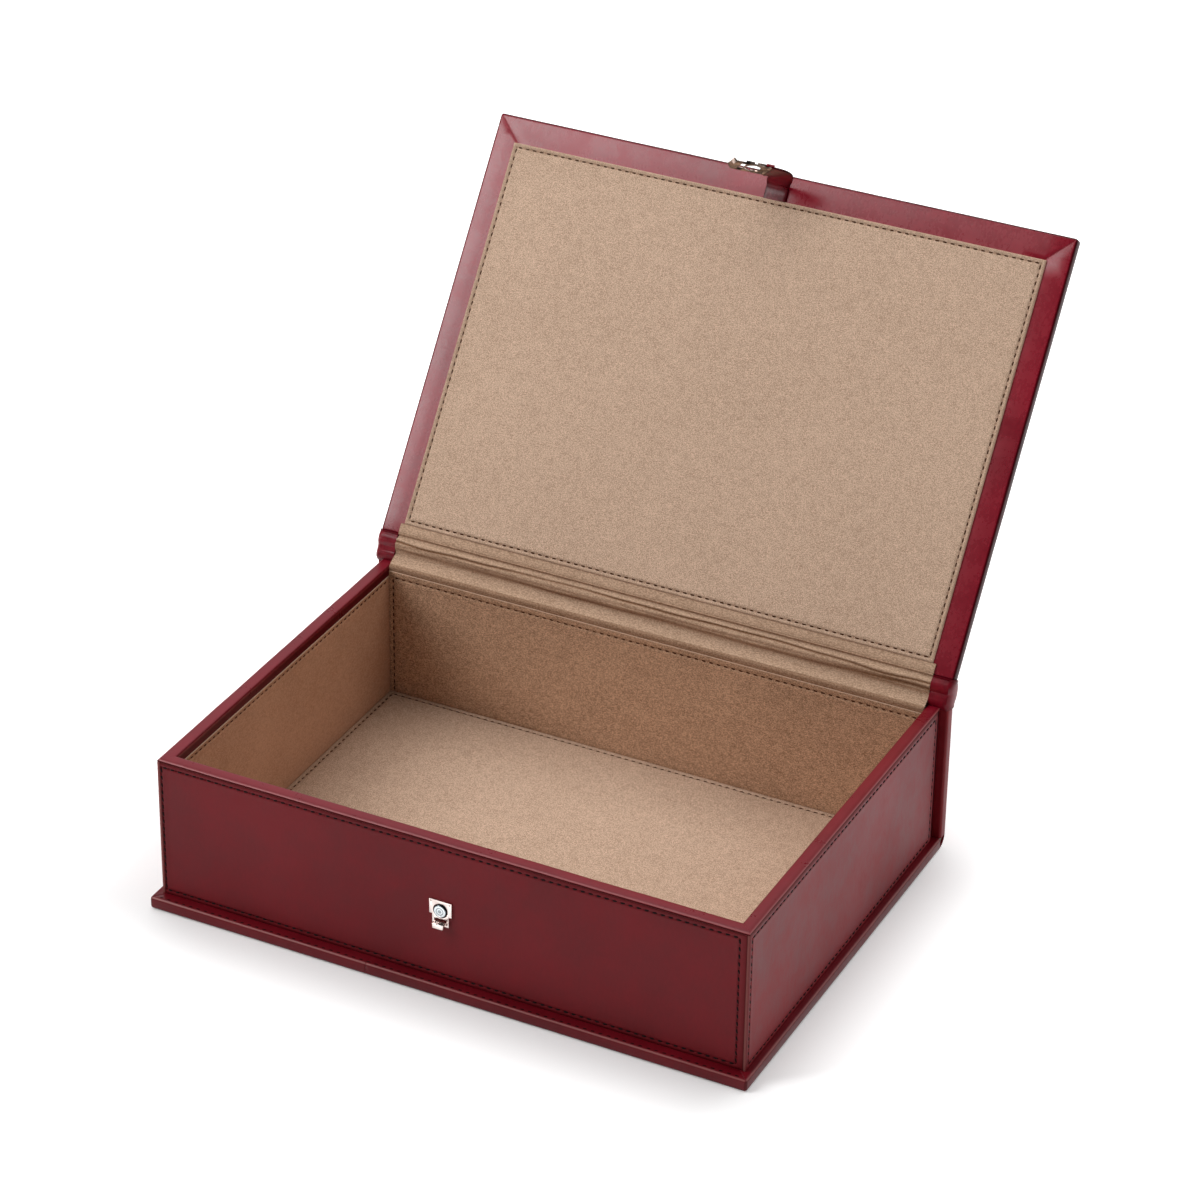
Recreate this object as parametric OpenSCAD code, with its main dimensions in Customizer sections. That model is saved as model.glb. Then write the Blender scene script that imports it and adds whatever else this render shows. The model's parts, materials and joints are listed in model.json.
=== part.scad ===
// Document box: a stitched leather tray on a wider base, with a spine and a book-style lid.
// The lid is drawn open, as it stands on its leather joint. X is the width, Y runs from the
// front to the spine, Z is up, and the origin is the centre of the underside.

/* [Case] */
// Width of the base, spine and lid, end to end
case_w = 336; // [280:1:400]
// Depth of the base from its front edge to the back of the spine
case_d = 245.2; // [220:0.2:300]
// Thickness of a covered board: base, spine and lid
board_t = 6.9; // [6:0.1:9]
// Thickness of the outer leather
leather_t = 1.2; // [0.8:0.1:1.4]
// Width of the leather turned in over each board
turn_in = 20; // [14:1:30]
// Rounding of the covered edges
edge_r = 1.5; // [1:0.1:2]
// Rounding of the corner where the base meets the spine
joint_r = 4; // [3:0.1:4.5]

/* [Tray] */
// Height of the rim above the table
tray_h = 87.1; // [60:0.1:130]
// How far the base stands out at each side of the tray
side_step = 3.75; // [2:0.05:8]
// How far the base stands out in front of the tray
front_step = 6.7; // [4:0.1:12]
// Thickness of the front and side walls with their covers
wall_w = 7.6; // [7.4:0.1:12]
// Thickness of the back wall with its lining
back_w = 7.2; // [6:0.1:10]
// Thickness of the stitched outer panels
panel_t = 1.3; // [1:0.1:1.6]
// Thickness of the suede linings on their card
lining_t = 1.4; // [1:0.1:1.8]
// Depth of the leather rim on the inside of a wall
rim_drop = 5.8; // [4:0.1:10]
// Height of the rim edge above the outer panels
rim_lip = 1.2; // [1:0.1:2]
// Drop of the back wall's top below the rim
back_drop = 1.5; // [1.3:0.1:3]
// Bare strip of the side walls in front of the spine
side_stop = 4.7; // [3:0.1:8]

/* [Lid] */
// Angle between the open lid and its closed place
open_angle = 125.9; // [95:0.1:128]
// Gap between the closed lid and the rim, where the strap passes
closed_gap = 1.4; // [1.3:0.05:2]
// Gap between the closed lid's end and the spine
end_gap = 1.5; // [1.2:0.1:3]
// Bending line of the leather joint: distance in front of the spine's back
bend_in = 2.3; // [2:0.1:3]
// Bending line of the leather joint: height over the closed lid's inner face
bend_up = 4.9; // [4.5:0.1:5.5]
// Leather border beside the lid's suede panel
lid_border = 13; // [11:0.5:18]
// Leather border in front of the lid's suede panel
lid_front_border = 14.6; // [13:0.1:18]
// Border behind the lid's suede panel
lid_back_border = 6.3; // [5:0.1:10]
// Thickness of the lid's suede panel
lid_panel_t = 1.1; // [0.9:0.05:1.2]

/* [Stitching] */
// Pitch of the stitches
stitch_pitch = 4.3; // [3:0.1:6]
// Distance of the stitches from the edge of a leather panel
stitch_in = 2.6; // [2:0.1:4]
// How far the front panel's stitching lies to the right of its middle
front_shift = -1.4; // [-2:0.1:2]
// Distance of the stitches from the edge of a suede panel
lining_stitch_in = 2.3; // [2:0.1:4]
// Thickness of the thread
thread_w = 0.6; // [0.4:0.05:0.8]

/* [Lock] */
// Offset of the lock and the hasp from the middle of the box
lock_x = -2.1; // [-5:0.1:5]
// Height of the button above the table
button_z = 47.7; // [35:0.1:49]
// Radius of the button
button_r = 3.6; // [3.3:0.05:3.7]
// How far the button moves when it is pressed
button_travel = 1.4; // [1:0.05:1.4]
// Clearance round the button in the lock plate
button_clear = 0.5; // [0.2:0.05:0.6]
// How far the button stands out of the lock plate
button_out = 0.8; // [0.5:0.1:1.3]
// Width of the upper part of the lock plate
plate_w = 12.4; // [12:0.1:14]
// Width of the lower part of the lock plate
stem_w = 9.2; // [9:0.1:10]
// Thickness of the lock plate
plate_t = 1; // [0.8:0.1:1.1]
// How far the catch stands out of the lock plate
catch_out = 3.5; // [3.3:0.1:4]
// Width of the catch
catch_w = 6.6; // [6:0.1:6.8]
// How far the catch rises when the button is pressed
catch_lift = 1.2; // [1:0.05:1.2]

/* [Strap] */
// Offset of the strap's root from the middle of the box
strap_x = 0.4; // [-5:0.1:5]
// Width of the leather strap
strap_w = 13; // [12:0.5:16]
// Thickness of the leather strap
strap_t = 1; // [0.8:0.05:1.1]
// Width of the metal hasp
hasp_w = 11; // [10.6:0.1:12.8]
// Thickness of the metal hasp
hasp_t = 0.8; // [0.6:0.05:1]
// Angle by which the hanging hasp is turned away from its straight place
hasp_swing = 52; // [0:1:60]

/* [Hidden] */
$fn = 48;

slit = 0.1;
groove_d = 0.4;
half_w = case_w / 2;
half_d = case_d / 2;
floor_z = board_t;
spine_y = half_d - board_t;
core_t = wall_w - panel_t - lining_t;
tray_x = half_w - side_step;
tray_y = -half_d + front_step;
core_x = tray_x - panel_t;
core_y = tray_y + panel_t;
core_in_x = core_x - core_t;
core_in_y = core_y + core_t;
room_x = tray_x - wall_w;
room_y = tray_y + wall_w;
back_y = spine_y - back_w;
back_core_y = back_y + lining_t;
panel_top = tray_h - rim_lip - slit;
panel_back_y = spine_y - side_stop;
core_top = tray_h - rim_lip;
rim_t = leather_t - slit;
lining_top = tray_h - rim_drop - slit;
back_top = tray_h - back_drop;
suede_t = 1;
back_lining_top = back_top - 1.2;
spine_top = tray_h - 0.6;

lid_len = case_d - board_t - end_gap;
lid_back = -half_d + lid_len;
lid_in_z = tray_h + closed_gap;
hinge_y = half_d - bend_in;
hinge_z = lid_in_z + bend_up;
lid_panel_x = half_w - lid_border;
lid_panel_end = lid_len - lid_front_border;
crease_up = lid_len - 8.4;
soft_gap = 0.3;

red = [0.43, 0.09, 0.12];
deep_red = [0.33, 0.05, 0.08];
suede = [0.72, 0.58, 0.46];
card = [0.55, 0.5, 0.44];
thread = [0.25, 0.16, 0.11];
nickel = [0.82, 0.8, 0.79];

// Points on a circle's arc, for outlines with rounded corners
function arc(cx, cy, r, from, to, steps = 6) =
    [for (i = [0:steps]) let (a = from + (to - from) * i / steps) [cx + r * cos(a), cy + r * sin(a)]];

// A point on a cubic curve with end points a, d and handles b, c
function curve(a, b, c, d, t) =
    a * pow(1 - t, 3) + 3 * b * t * pow(1 - t, 2) + 3 * c * t * t * (1 - t) + d * pow(t, 3);

function unit(v) = v / norm(v);

// Both edges of a band of thickness t along a list of points in a plane
function band(points, t) = let (
    last = len(points) - 1,
    ahead = [for (i = [0:last]) unit(points[min(i + 1, last)] - points[max(i - 1, 0)])],
    left = [for (i = [0:last]) points[i] + t / 2 * [-ahead[i][1], ahead[i][0]]],
    right = [for (i = [last:-1:0]) points[i] - t / 2 * [-ahead[i][1], ahead[i][0]]]
) concat(left, right);

// A rectangle with round corners, its lower left corner at the origin
module round_rect(x, y, r) {
    translate([r, 0]) square([x - 2 * r, y]);
    translate([0, r]) square([x, y - 2 * r]);
    for (cx = [r, x - r], cy = [r, y - r]) translate([cx, cy]) circle(r);
}

// A slab with rounded edges and corners, lying on z = 0 from the corner at the origin
module slab(x, y, z, r) {
    intersection() {
        linear_extrude(z) round_rect(x, y, r);
        translate([x, 0, 0]) rotate([0, -90, 0]) linear_extrude(x) round_rect(z, y, r);
        translate([0, y, 0]) rotate([90, 0, 0]) linear_extrude(y) round_rect(x, z, r);
    }
}

// The board inside a covered slab, with the raised middle that fills the opening of its leather
module cored(x, y, z) {
    t = leather_t;
    translate([t, t, t]) cube([x - 2 * t, y - 2 * t, z - 2 * t]);
    translate([turn_in, turn_in, t]) cube([x - 2 * turn_in, y - 2 * turn_in, z - t]);
}

// A straight profile, drawn in Y and Z, carried along X between two places
module along_x(from, to) {
    translate([from, 0, 0]) rotate([90, 0, 90]) linear_extrude(to - from) children();
}

// Puts a shape drawn on the lid in its place on the open lid: X is the width, Y runs up the
// lid from its hinge end, and Z leaves its inner face
module on_lid() {
    translate([0, hinge_y, hinge_z]) rotate([-open_angle, 0, 0])
        translate([0, lid_back - hinge_y, lid_in_z - hinge_z]) rotate([180, 0, 0]) children();
}

// The place on the open lid of a point given up the lid and off its inner face
function lid_point(up, off) = let (
    y = lid_back - up - hinge_y,
    z = lid_in_z - off - hinge_z
) [hinge_y + y * cos(open_angle) + z * sin(open_angle),
   hinge_z - y * sin(open_angle) + z * cos(open_angle)];

// The outline of a row of stitches, seen from the side: a sunk core with raised stitches
function stitch_outline(length) = let (
    count = max(2, round(length / stitch_pitch)),
    pitch = length / count,
    raised = pitch * 0.68,
    low = -0.12,
    high = 0.22
) concat(
    [for (i = [0:count - 1], k = [0:3])
        [i * pitch + (pitch - raised) / 2 + (k < 1 ? 0 : k < 2 ? 0.3 : k < 3 ? raised - 0.3 : raised),
         k == 0 || k == 3 ? low : high]],
    [[length, low], [length, -groove_d + 0.05], [0, -groove_d + 0.05], [0, low]]);

// A row of stitches along X on the plane z = 0
module stitch_row(length) {
    translate([0, thread_w / 2, 0]) rotate([90, 0, 0])
        linear_extrude(thread_w) polygon(stitch_outline(length));
}

// Rows of stitches, set in from the edges of a panel of the size given. rows tells whether it has
// the lower row, the upper row and the rows at its ends
all_rows = [1, 1, 1];
module stitch_frame(x, y, inset, shift = 0, rows = all_rows) {
    end = thread_w / 2 + 0.05;
    low = rows[0] ? inset + end : 2 * slit;
    translate([shift, 0, 0]) for (side = [0, 1]) {
        if (rows[side]) translate([inset - thread_w / 2, side ? y - inset : inset, 0])
            stitch_row(x - 2 * inset + thread_w);
        if (rows[2]) translate([side ? x - inset : inset, low, 0])
            rotate([0, 0, 90]) stitch_row(y - inset - end - low);
    }
}

// The groove that a frame of stitches lies in
module groove_frame(x, y, inset, shift = 0, rows = all_rows) {
    w = thread_w + 0.1;
    low = rows[0] ? inset - w / 2 : -1;
    translate([shift, 0, -groove_d]) linear_extrude(groove_d + 1) for (side = [0, 1]) {
        if (rows[side]) translate([inset - w / 2, (side ? y - inset : inset) - w / 2])
            square([x - 2 * inset + w, w]);
        if (rows[2]) translate([(side ? x - inset : inset) - w / 2, low])
            square([w, y - inset + w / 2 - low]);
    }
}

// A flat panel from the corner at the origin, grooved for its stitches on top
module stitched_sheet(x, y, t, inset, shift = 0, rows = all_rows) {
    difference() {
        cube([x, y, t]);
        translate([0, 0, t]) groove_frame(x, y, inset, shift, rows);
    }
}

// Places for the tray's panels and linings: each puts a sheet drawn flat, with its face up,
// on its wall with its face towards the room or the outside
module facing_front() {
    translate([-core_x, core_y, floor_z]) rotate([90, 0, 0]) children();
}
module facing_side(side) {
    translate([side * core_x, side > 0 ? tray_y : panel_back_y, floor_z])
        rotate([90, 0, side * 90]) children();
}
module facing_room_front() {
    translate([core_in_x, core_in_y, floor_z + lining_t]) rotate([90, 0, 180]) children();
}
module facing_room_back() {
    translate([-core_in_x, back_core_y, floor_z + lining_t]) rotate([90, 0, 0]) children();
}
module facing_room_side(side) {
    translate([side * core_in_x, side > 0 ? back_y - slit : room_y + slit, floor_z + lining_t])
        rotate([90, 0, -side * 90]) children();
}

front_panel_size = [2 * core_x, panel_top - floor_z];
side_panel_size = [panel_back_y - tray_y, panel_top - floor_z];
front_lining_size = [2 * core_in_x, lining_top - floor_z - lining_t];
back_lining_size = [2 * core_in_x, back_lining_top - floor_z - lining_t];
side_lining_size = [back_y - room_y - 2 * slit, lining_top - floor_z - lining_t];
floor_size = [2 * core_in_x, back_core_y - core_in_y];
lid_panel_size = [2 * lid_panel_x, lid_panel_end - lid_back_border];

// The row of stitches along the front edge of the base
base_row = case_w - 2 * side_step;
base_row_y = -half_d + edge_r + 0.45;

module base_board() {
    color(card) translate([-half_w, -half_d, 0]) cored(case_w, spine_y + half_d, board_t);
}

module base_cover() {
    color(red) difference() {
        translate([-half_w, -half_d, 0]) slab(case_w, case_d, board_t, edge_r);
        translate([-half_w - 1, spine_y, -1]) cube([case_w + 2, case_d, board_t + 2]);
        base_board();
        translate([-base_row / 2, base_row_y - thread_w / 2 - 0.05, board_t - groove_d])
            cube([base_row, thread_w + 0.1, groove_d + 1]);
    }
}

// The spine and the joint under it share one board
module spine_board() {
    t = leather_t;
    color(card) along_x(-half_w + t, half_w - t) polygon([
        [spine_y + t, t], [half_d - t - 1.5, t], [half_d - t, t + 1.5],
        [half_d - t, spine_top - t], [spine_y + t, spine_top - t]]);
}

module spine_cover() {
    color(red) difference() {
        translate([-half_w, spine_y, 0]) slab(case_w, board_t, spine_top, edge_r);
        spine_board();
        translate([-half_w - 1, spine_y - 1, -1]) cube([case_w + 2, board_t + 2, floor_z + 1]);
    }
}

module joint_leather() {
    color(red) difference() {
        along_x(-half_w, half_w) polygon(concat(
            [[spine_y, floor_z], [spine_y, 0]],
            arc(half_d - joint_r, joint_r, joint_r, -90, 0, 10), [[half_d, floor_z]]));
        spine_board();
    }
}

module wall_front() {
    color(card) difference() {
        translate([-core_x, core_y, floor_z]) cube([2 * core_x, core_t, core_top - floor_z]);
        lock_pocket();
    }
}

module wall_back() {
    r = 0.9;
    color(card) along_x(-core_in_x, core_in_x) polygon(concat(
        arc(back_core_y + r, back_top - r, r, 180, 90),
        [[spine_y, back_top], [spine_y, floor_z], [back_core_y, floor_z]]));
}

module wall_side(side) {
    color(card) translate([side > 0 ? core_in_x : -core_x, core_in_y, floor_z])
        cube([core_t, spine_y - core_in_y, core_top - floor_z]);
}
module wall_left() { wall_side(-1); }
module wall_right() { wall_side(1); }

// The rim's section over a wall: its outer face at x = 0, the top at y = 0. The inner skirt is
// longer than the outer lip
module rim_section() {
    w = panel_t + core_t + rim_t;
    r = 0.9;
    polygon(concat(
        [[0, -rim_lip]], arc(r, -r, r, 180, 90), arc(w - r, -r, r, 90, 0),
        [[w, -rim_drop], [w - rim_t, -rim_drop], [w - rim_t, -rim_lip]]));
}

// One length of rim along X, mitred at its ends to the sides
module rim_front() {
    reach = core_t + panel_t + rim_t;
    color(deep_red) difference() {
        translate([0, tray_y, tray_h]) along_x(-tray_x, tray_x) rim_section();
        for (side = [-1, 1]) mitre(side, reach, -slit / 2);
    }
}

// Cuts the corner of the rim along its diagonal
module mitre(side, reach, gap) {
    translate([side * tray_x, tray_y, tray_h - rim_drop - 1]) mirror([side > 0 ? 1 : 0, 0, 0])
        linear_extrude(rim_drop + 2) polygon([[-1, -1 + gap], [-1, reach + 2], [reach + 2, reach + 2 + gap]]);
}

module rim_side(side) {
    reach = core_t + panel_t + rim_t;
    color(deep_red) difference() {
        mirror([side < 0 ? 1 : 0, 0, 0]) translate([tray_x, 0, tray_h]) rotate([0, 0, 180])
            translate([0, -spine_y, 0]) mirror([0, 1, 0]) rotate([90, 0, 0])
            linear_extrude(spine_y - tray_y) rim_section();
        translate([side * tray_x, tray_y, tray_h - rim_drop - 1]) mirror([side > 0 ? 1 : 0, 0, 0])
            linear_extrude(rim_drop + 2)
            polygon([[-1, -1 + slit / 2], [-1, -2], [reach + 2, -2], [reach + 2, reach + 2 + slit / 2]]);
        translate([side > 0 ? room_x : -core_in_x - slit / 2, back_y - slit, core_top - rim_drop])
            cube([core_in_x - room_x + slit / 2, wall_w, rim_drop]);
    }
}
module rim_left() { rim_side(-1); }
module rim_right() { rim_side(1); }

module panel_front() {
    color(red) difference() {
        facing_front()
            stitched_sheet(front_panel_size[0], front_panel_size[1], panel_t, stitch_in, front_shift);
        lock_hole();
    }
}

module panel_side(side) {
    color(red) facing_side(side)
        stitched_sheet(side_panel_size[0], side_panel_size[1], panel_t, stitch_in);
}
module panel_left() { panel_side(-1); }
module panel_right() { panel_side(1); }

// The front and back linings are sewn along their upper edges and ends, the side ones only above
upper_and_ends = [0, 1, 1];
upper_only = [0, 1, 0];
module lining_floor() {
    color(suede) translate([-core_in_x, core_in_y, floor_z])
        stitched_sheet(floor_size[0], floor_size[1], lining_t, lining_t + lining_stitch_in);
}
module lining_front() {
    color(suede) facing_room_front()
        stitched_sheet(front_lining_size[0], front_lining_size[1], lining_t,
            lining_t + lining_stitch_in, rows = upper_and_ends);
}
module lining_back() {
    color(suede) facing_room_back()
        stitched_sheet(back_lining_size[0], back_lining_size[1], lining_t,
            lining_t + lining_stitch_in, rows = upper_and_ends);
}
module lining_side(side) {
    color(suede) facing_room_side(side)
        stitched_sheet(side_lining_size[0], side_lining_size[1], lining_t, lining_stitch_in,
            rows = upper_only);
}
module lining_left() { lining_side(-1); }
module lining_right() { lining_side(1); }

module thread_panels() {
    color(thread) {
        facing_front() translate([0, 0, panel_t])
            stitch_frame(front_panel_size[0], front_panel_size[1], stitch_in, front_shift);
        for (side = [-1, 1]) facing_side(side) translate([0, 0, panel_t])
            stitch_frame(side_panel_size[0], side_panel_size[1], stitch_in);
    }
}

module thread_linings() {
    wide = lining_t + lining_stitch_in;
    color(thread) {
        translate([-core_in_x, core_in_y, floor_z + lining_t])
            stitch_frame(floor_size[0], floor_size[1], wide);
        facing_room_front() translate([0, 0, lining_t])
            stitch_frame(front_lining_size[0], front_lining_size[1], wide, rows = upper_and_ends);
        facing_room_back() translate([0, 0, lining_t])
            stitch_frame(back_lining_size[0], back_lining_size[1], wide, rows = upper_and_ends);
        for (side = [-1, 1]) facing_room_side(side) translate([0, 0, lining_t])
            stitch_frame(side_lining_size[0], side_lining_size[1], lining_stitch_in,
                rows = upper_only);
    }
}

module thread_base() {
    color(thread) translate([-base_row / 2 + slit, base_row_y, board_t]) stitch_row(base_row - 2 * slit);
}

// The outer leather between spine and lid: it bulges behind the spine when the lid is open
module hinge_leather() {
    low = [half_d - leather_t / 2, spine_top];
    high = lid_point(-2 * soft_gap, -board_t + leather_t / 2);
    handle_low = low + [4.2, 3.1];
    handle_high = high + [2.7, -3.4];
    color(red) along_x(-half_w, half_w) polygon(band(
        [for (i = [0:14]) curve(low, handle_low, handle_high, high, i / 14)], leather_t));
}

// The two ends of the joint, where its leather is turned in over the inside
module hinge_tabs() {
    low = [spine_y + leather_t / 2, spine_top];
    high = lid_point(-soft_gap - 0.1, -leather_t / 2);
    color(deep_red) for (side = [-1, 1])
        along_x(side > 0 ? room_x + 2 : -half_w, side > 0 ? half_w : -room_x - 2)
            polygon(band([for (i = [0:10])
                curve(low, low + [-0.1, 4.5], high - [2.4, 4], high, i / 10)], leather_t));
}

// The suede strip inside the joint: from the back lining, over the wall, and up to the lid
module hinge_suede() {
    half = suede_t / 2;
    front = back_core_y - half;
    corner = [for (a = [180:-15:90]) [front + 1.2 + 1.2 * cos(a), back_top - 0.7 + 1.2 * sin(a)]];
    rise = [spine_y - 1.2, back_top + half];
    fold = lid_point(-suede_t / 2 - soft_gap, 0.9 * suede_t);
    roll = [for (i = [1:8]) curve(rise, rise + [1.8, 0.1], fold - [1.9, 3.6], fold, i / 8)];
    color(suede) along_x(-room_x, room_x) polygon(band(concat(
        [[front, back_lining_top + slit]], corner, [rise], roll), suede_t));
}

// The end of the suede strip, on the lid's inner face
module hinge_strip() {
    color(suede) on_lid() translate([-room_x, soft_gap, 0])
        cube([2 * room_x, lid_back_border - slit - soft_gap, suede_t]);
}

module lid_board() {
    color(card) on_lid() translate([-half_w, 0, -board_t]) difference() {
        cored(case_w, lid_len, board_t);
        translate([half_w, 0, board_t]) tail_recess(slit);
    }
}

module lid_cover() {
    color(red) on_lid() translate([-half_w, 0, -board_t]) difference() {
        slab(case_w, lid_len, board_t, edge_r);
        cored(case_w, lid_len, board_t);
        translate([half_w, 0, board_t]) tail_recess(slit);
    }
}

// The shallow recess under the lid's panel that holds the fixed end of the strap
module tail_recess(gap) {
    translate([strap_x - strap_w / 2 - gap, lid_panel_end - 12 - gap, -strap_t - gap / 2])
        cube([strap_w + 2 * gap, 12 + 1.2 + 2 * gap, strap_t + 1]);
}

module lid_panel() {
    color(suede) on_lid() translate([-lid_panel_x, lid_back_border, 0])
        stitched_sheet(lid_panel_size[0], lid_panel_size[1], lid_panel_t, lining_stitch_in);
}

module thread_lid() {
    color(thread) on_lid() translate([-lid_panel_x, lid_back_border, lid_panel_t])
        stitch_frame(lid_panel_size[0], lid_panel_size[1], lining_stitch_in);
}

// The fixed end of the strap: its tail lies under the panel and its root on the leather border
module strap_root() {
    t = strap_t;
    color(red) on_lid() along_x(strap_x - strap_w / 2, strap_x + strap_w / 2) polygon([
        [lid_panel_end - 12, -t], [lid_panel_end + 1.1, -t], [lid_panel_end + 1.1, 0],
        [crease_up, 0], [crease_up, t], [lid_panel_end + 0.1, t], [lid_panel_end + 0.1, -slit / 2],
        [lid_panel_end - 12, -slit / 2]]);
}

// The straight place of the strap and hasp, on a closed lid: distances up the lid and off it
plate_face = tray_y - plate_t;
hasp_gap = 0.25;
hasp_up = lid_back - plate_face + hasp_gap + hasp_t / 2;
hasp_start = lid_in_z - button_z - 9.8;
hasp_len = 20.6;
swing_axis = [0, 0.944, -0.329];
swing_point = [lock_x + 4.4, hasp_up + 0.3, lid_in_z - button_z - 1.8];

// Heights in the lock: the catch's lower edge, the bar over its slide's window, and its box
catch_t = 1.3;
catch_low = button_z - 7.3;
nose_h = 1.3;
shaft_r = 1.5;
slide_bar = 1.2;
slide_high = button_z + shaft_r + slit + slide_bar - catch_low;
spring_room = 0.6;
case_wall = 0.5;
case_bottom = catch_low - 0.3 - case_wall;
case_size = [10, 4.7, catch_low + slide_high + catch_lift + spring_room + case_wall - case_bottom];

// The slot that the catch passes in the lock plate and the hasp, with its clearances
slot_low = catch_low - 0.2;
slot_high = catch_low + catch_t + catch_lift + 0.1;

// Turns a shape from the hasp's straight place to where it hangs, on the open lid
module hanging() {
    on_lid() translate(swing_point) rotate(a = -hasp_swing, v = swing_axis)
        translate(-swing_point) children();
}

// A vector turned about the swing axis, from the straight place to the hanging one
function swung(v) = let (k = unit(swing_axis), c = cos(-hasp_swing), s = sin(-hasp_swing))
    v * c + cross(k, v) * s + k * (k * v) * (1 - c);
function hung(p) = swing_point + swung(p - swing_point);

// The free strap, twisting from its crease on the lid's border to the hasp
module strap() {
    rings = 14;
    foot = [strap_x, crease_up + strap_t / 2 + soft_gap, strap_t / 2];
    top = hung([lock_x, hasp_up, hasp_start - soft_gap]);
    wide_top = swung([1, 0, 0]);
    run = swung([0, 0, 1]);
    handle_low = foot + [0.4, 1, 7];
    handle_high = top - 13 * run;
    ring = [for (i = [0:rings]) let (
        s = i / rings,
        p = curve(foot, handle_low, handle_high, top, s),
        q = curve(foot, handle_low, handle_high, top, s + 0.01),
        ahead = i == rings ? run : i == 0 ? unit([0, 0.35, 1]) : unit(q - p),
        turn = s * (1 - pow(1 - s, 4)),
        lean = unit([1, 0, 0] * (1 - turn) + wide_top * turn),
        wide = unit(lean - ahead * (ahead * lean)),
        thick = cross(ahead, wide)
    ) for (k = [[-1, -1], [1, -1], [1, 1], [-1, 1]])
        p + wide * k[0] * strap_w / 2 + thick * k[1] * strap_t / 2];
    sides = [for (i = [0:rings - 1], k = [0:3]) let (a = 4 * i + k, b = 4 * i + (k + 1) % 4)
        each [[a, b, b + 4], [a, b + 4, a + 4]]];
    end = 4 * rings;
    color(red) on_lid() polyhedron(ring, concat(sides,
        [[2, 1, 0], [3, 2, 0], [end, end + 1, end + 2], [end, end + 2, end + 3]]));
}

// The hasp: a plate with a hole for the button, a slot for the catch, a turned-up lip and low
// side ridges that are broken beside the button and the slot
button_off = lid_in_z - button_z;
backing_len = 4.2;
rivet_in = 2.2;
ridge = [0.6, 0.9];
ridge_runs = [[backing_len + 0.2, 9], [10.7, 15.4]];
module hasp_plate() {
    color(nickel) hanging() difference() {
        union() {
            translate([lock_x - hasp_w / 2, hasp_up - hasp_t / 2, hasp_start])
                cube([hasp_w, hasp_t, hasp_len]);
            for (side = [-1, 1], run = ridge_runs)
                translate([lock_x + side * (hasp_w - ridge[0]) / 2 - ridge[0] / 2,
                           hasp_up + hasp_t / 2 - slit, hasp_start + run[0]])
                    cube([ridge[0], ridge[1] + slit, run[1] - run[0]]);
            translate([0, hasp_up, hasp_start + hasp_len])
                along_x(lock_x - hasp_w / 2 + 1, lock_x + hasp_w / 2 - 1) polygon([
                    [-hasp_t / 2, -0.5], [hasp_t / 2, -0.5], [2.2, 1.2], [1.6, 1.8], [-hasp_t / 2, 0.4]]);
        }
        translate([lock_x, hasp_up, button_off]) rotate([90, 0, 0])
            cylinder(r = button_r + button_clear + 0.1, h = 4, center = true);
        translate([lock_x - catch_w / 2 - 0.5, hasp_up - 2, lid_in_z - slot_high])
            cube([catch_w + 1, 4, slot_high - slot_low]);
        for (side = [-1, 1]) translate([lock_x + side * 3.4, hasp_up, hasp_start + rivet_in])
            rotate([90, 0, 0]) cylinder(r = 0.8, h = 4, center = true);
    }
}

// The end of the strap behind the hasp, held by two rivets
module hasp_backing() {
    color(red) hanging() difference() {
        translate([lock_x - strap_w / 2, hasp_up + hasp_t / 2, hasp_start])
            cube([strap_w, strap_t, backing_len]);
        for (side = [-1, 1]) translate([lock_x + side * 3.4, hasp_up, hasp_start + rivet_in])
            rotate([90, 0, 0]) cylinder(r = 0.8, h = 6, center = true);
    }
}

module hasp_rivets() {
    reach = hasp_t + strap_t;
    color(nickel) hanging() for (side = [-1, 1])
        translate([lock_x + side * 3.4, hasp_up - hasp_t / 2, hasp_start + rivet_in]) rotate([-90, 0, 0]) {
            cylinder(r = 0.8, h = reach + 0.4);
            translate([0, 0, reach]) cylinder(r1 = 1.4, r2 = 0.9, h = 0.4);
        }
}

// The pocket of the lock's box in the front wall, and the hole that the panel leaves over it
module lock_pocket() {
    translate([lock_x - case_size[0] / 2 - slit, core_y - 1, case_bottom - slit])
        cube([case_size[0] + 2 * slit, case_size[1] + 1 + slit, case_size[2] + 2 * slit]);
}
module lock_hole() {
    wide = catch_w + 2 * (soft_gap + slit);
    translate([lock_x, tray_y, button_z]) rotate([90, 0, 0])
        cylinder(r = button_r + button_clear, h = 4, center = true);
    low = catch_low - soft_gap - slit;
    translate([lock_x - wide / 2, tray_y - 1, low]) cube([wide, panel_t + 2, button_z - low]);
}

plate_low = slot_low - slide_bar;
plate_mid = button_z - 2.55;
plate_high = button_z + 5.75;
module lock_plate() {
    hole = button_r + button_clear;
    color(nickel) difference() {
        union() {
            translate([lock_x - plate_w / 2, plate_face, plate_mid])
                cube([plate_w, plate_t, plate_high - plate_mid]);
            translate([lock_x - stem_w / 2, plate_face, plate_low])
                cube([stem_w, plate_t, plate_mid - plate_low]);
        }
        translate([lock_x, plate_face, button_z]) rotate([90, 0, 0])
            cylinder(r = hole, h = 4, center = true);
        translate([lock_x - catch_w / 2 - 0.2, plate_face - 1, slot_low])
            cube([catch_w + 0.4, plate_t + 2, slot_high - slot_low]);
        rivet_places() cylinder(r = 0.45, h = 6, center = true);
    }
}

module rivet_places() {
    for (side = [-1, 1]) translate([lock_x + side * (plate_w / 2 - 0.95), plate_face, plate_high - 0.95])
        rotate([90, 0, 0]) children();
}

// Pins whose ends lie a little below the plate's face
module lock_rivets() {
    color(nickel) rivet_places() translate([0, 0, -plate_t]) cylinder(r = 0.45, h = plate_t - 0.25);
}

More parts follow.
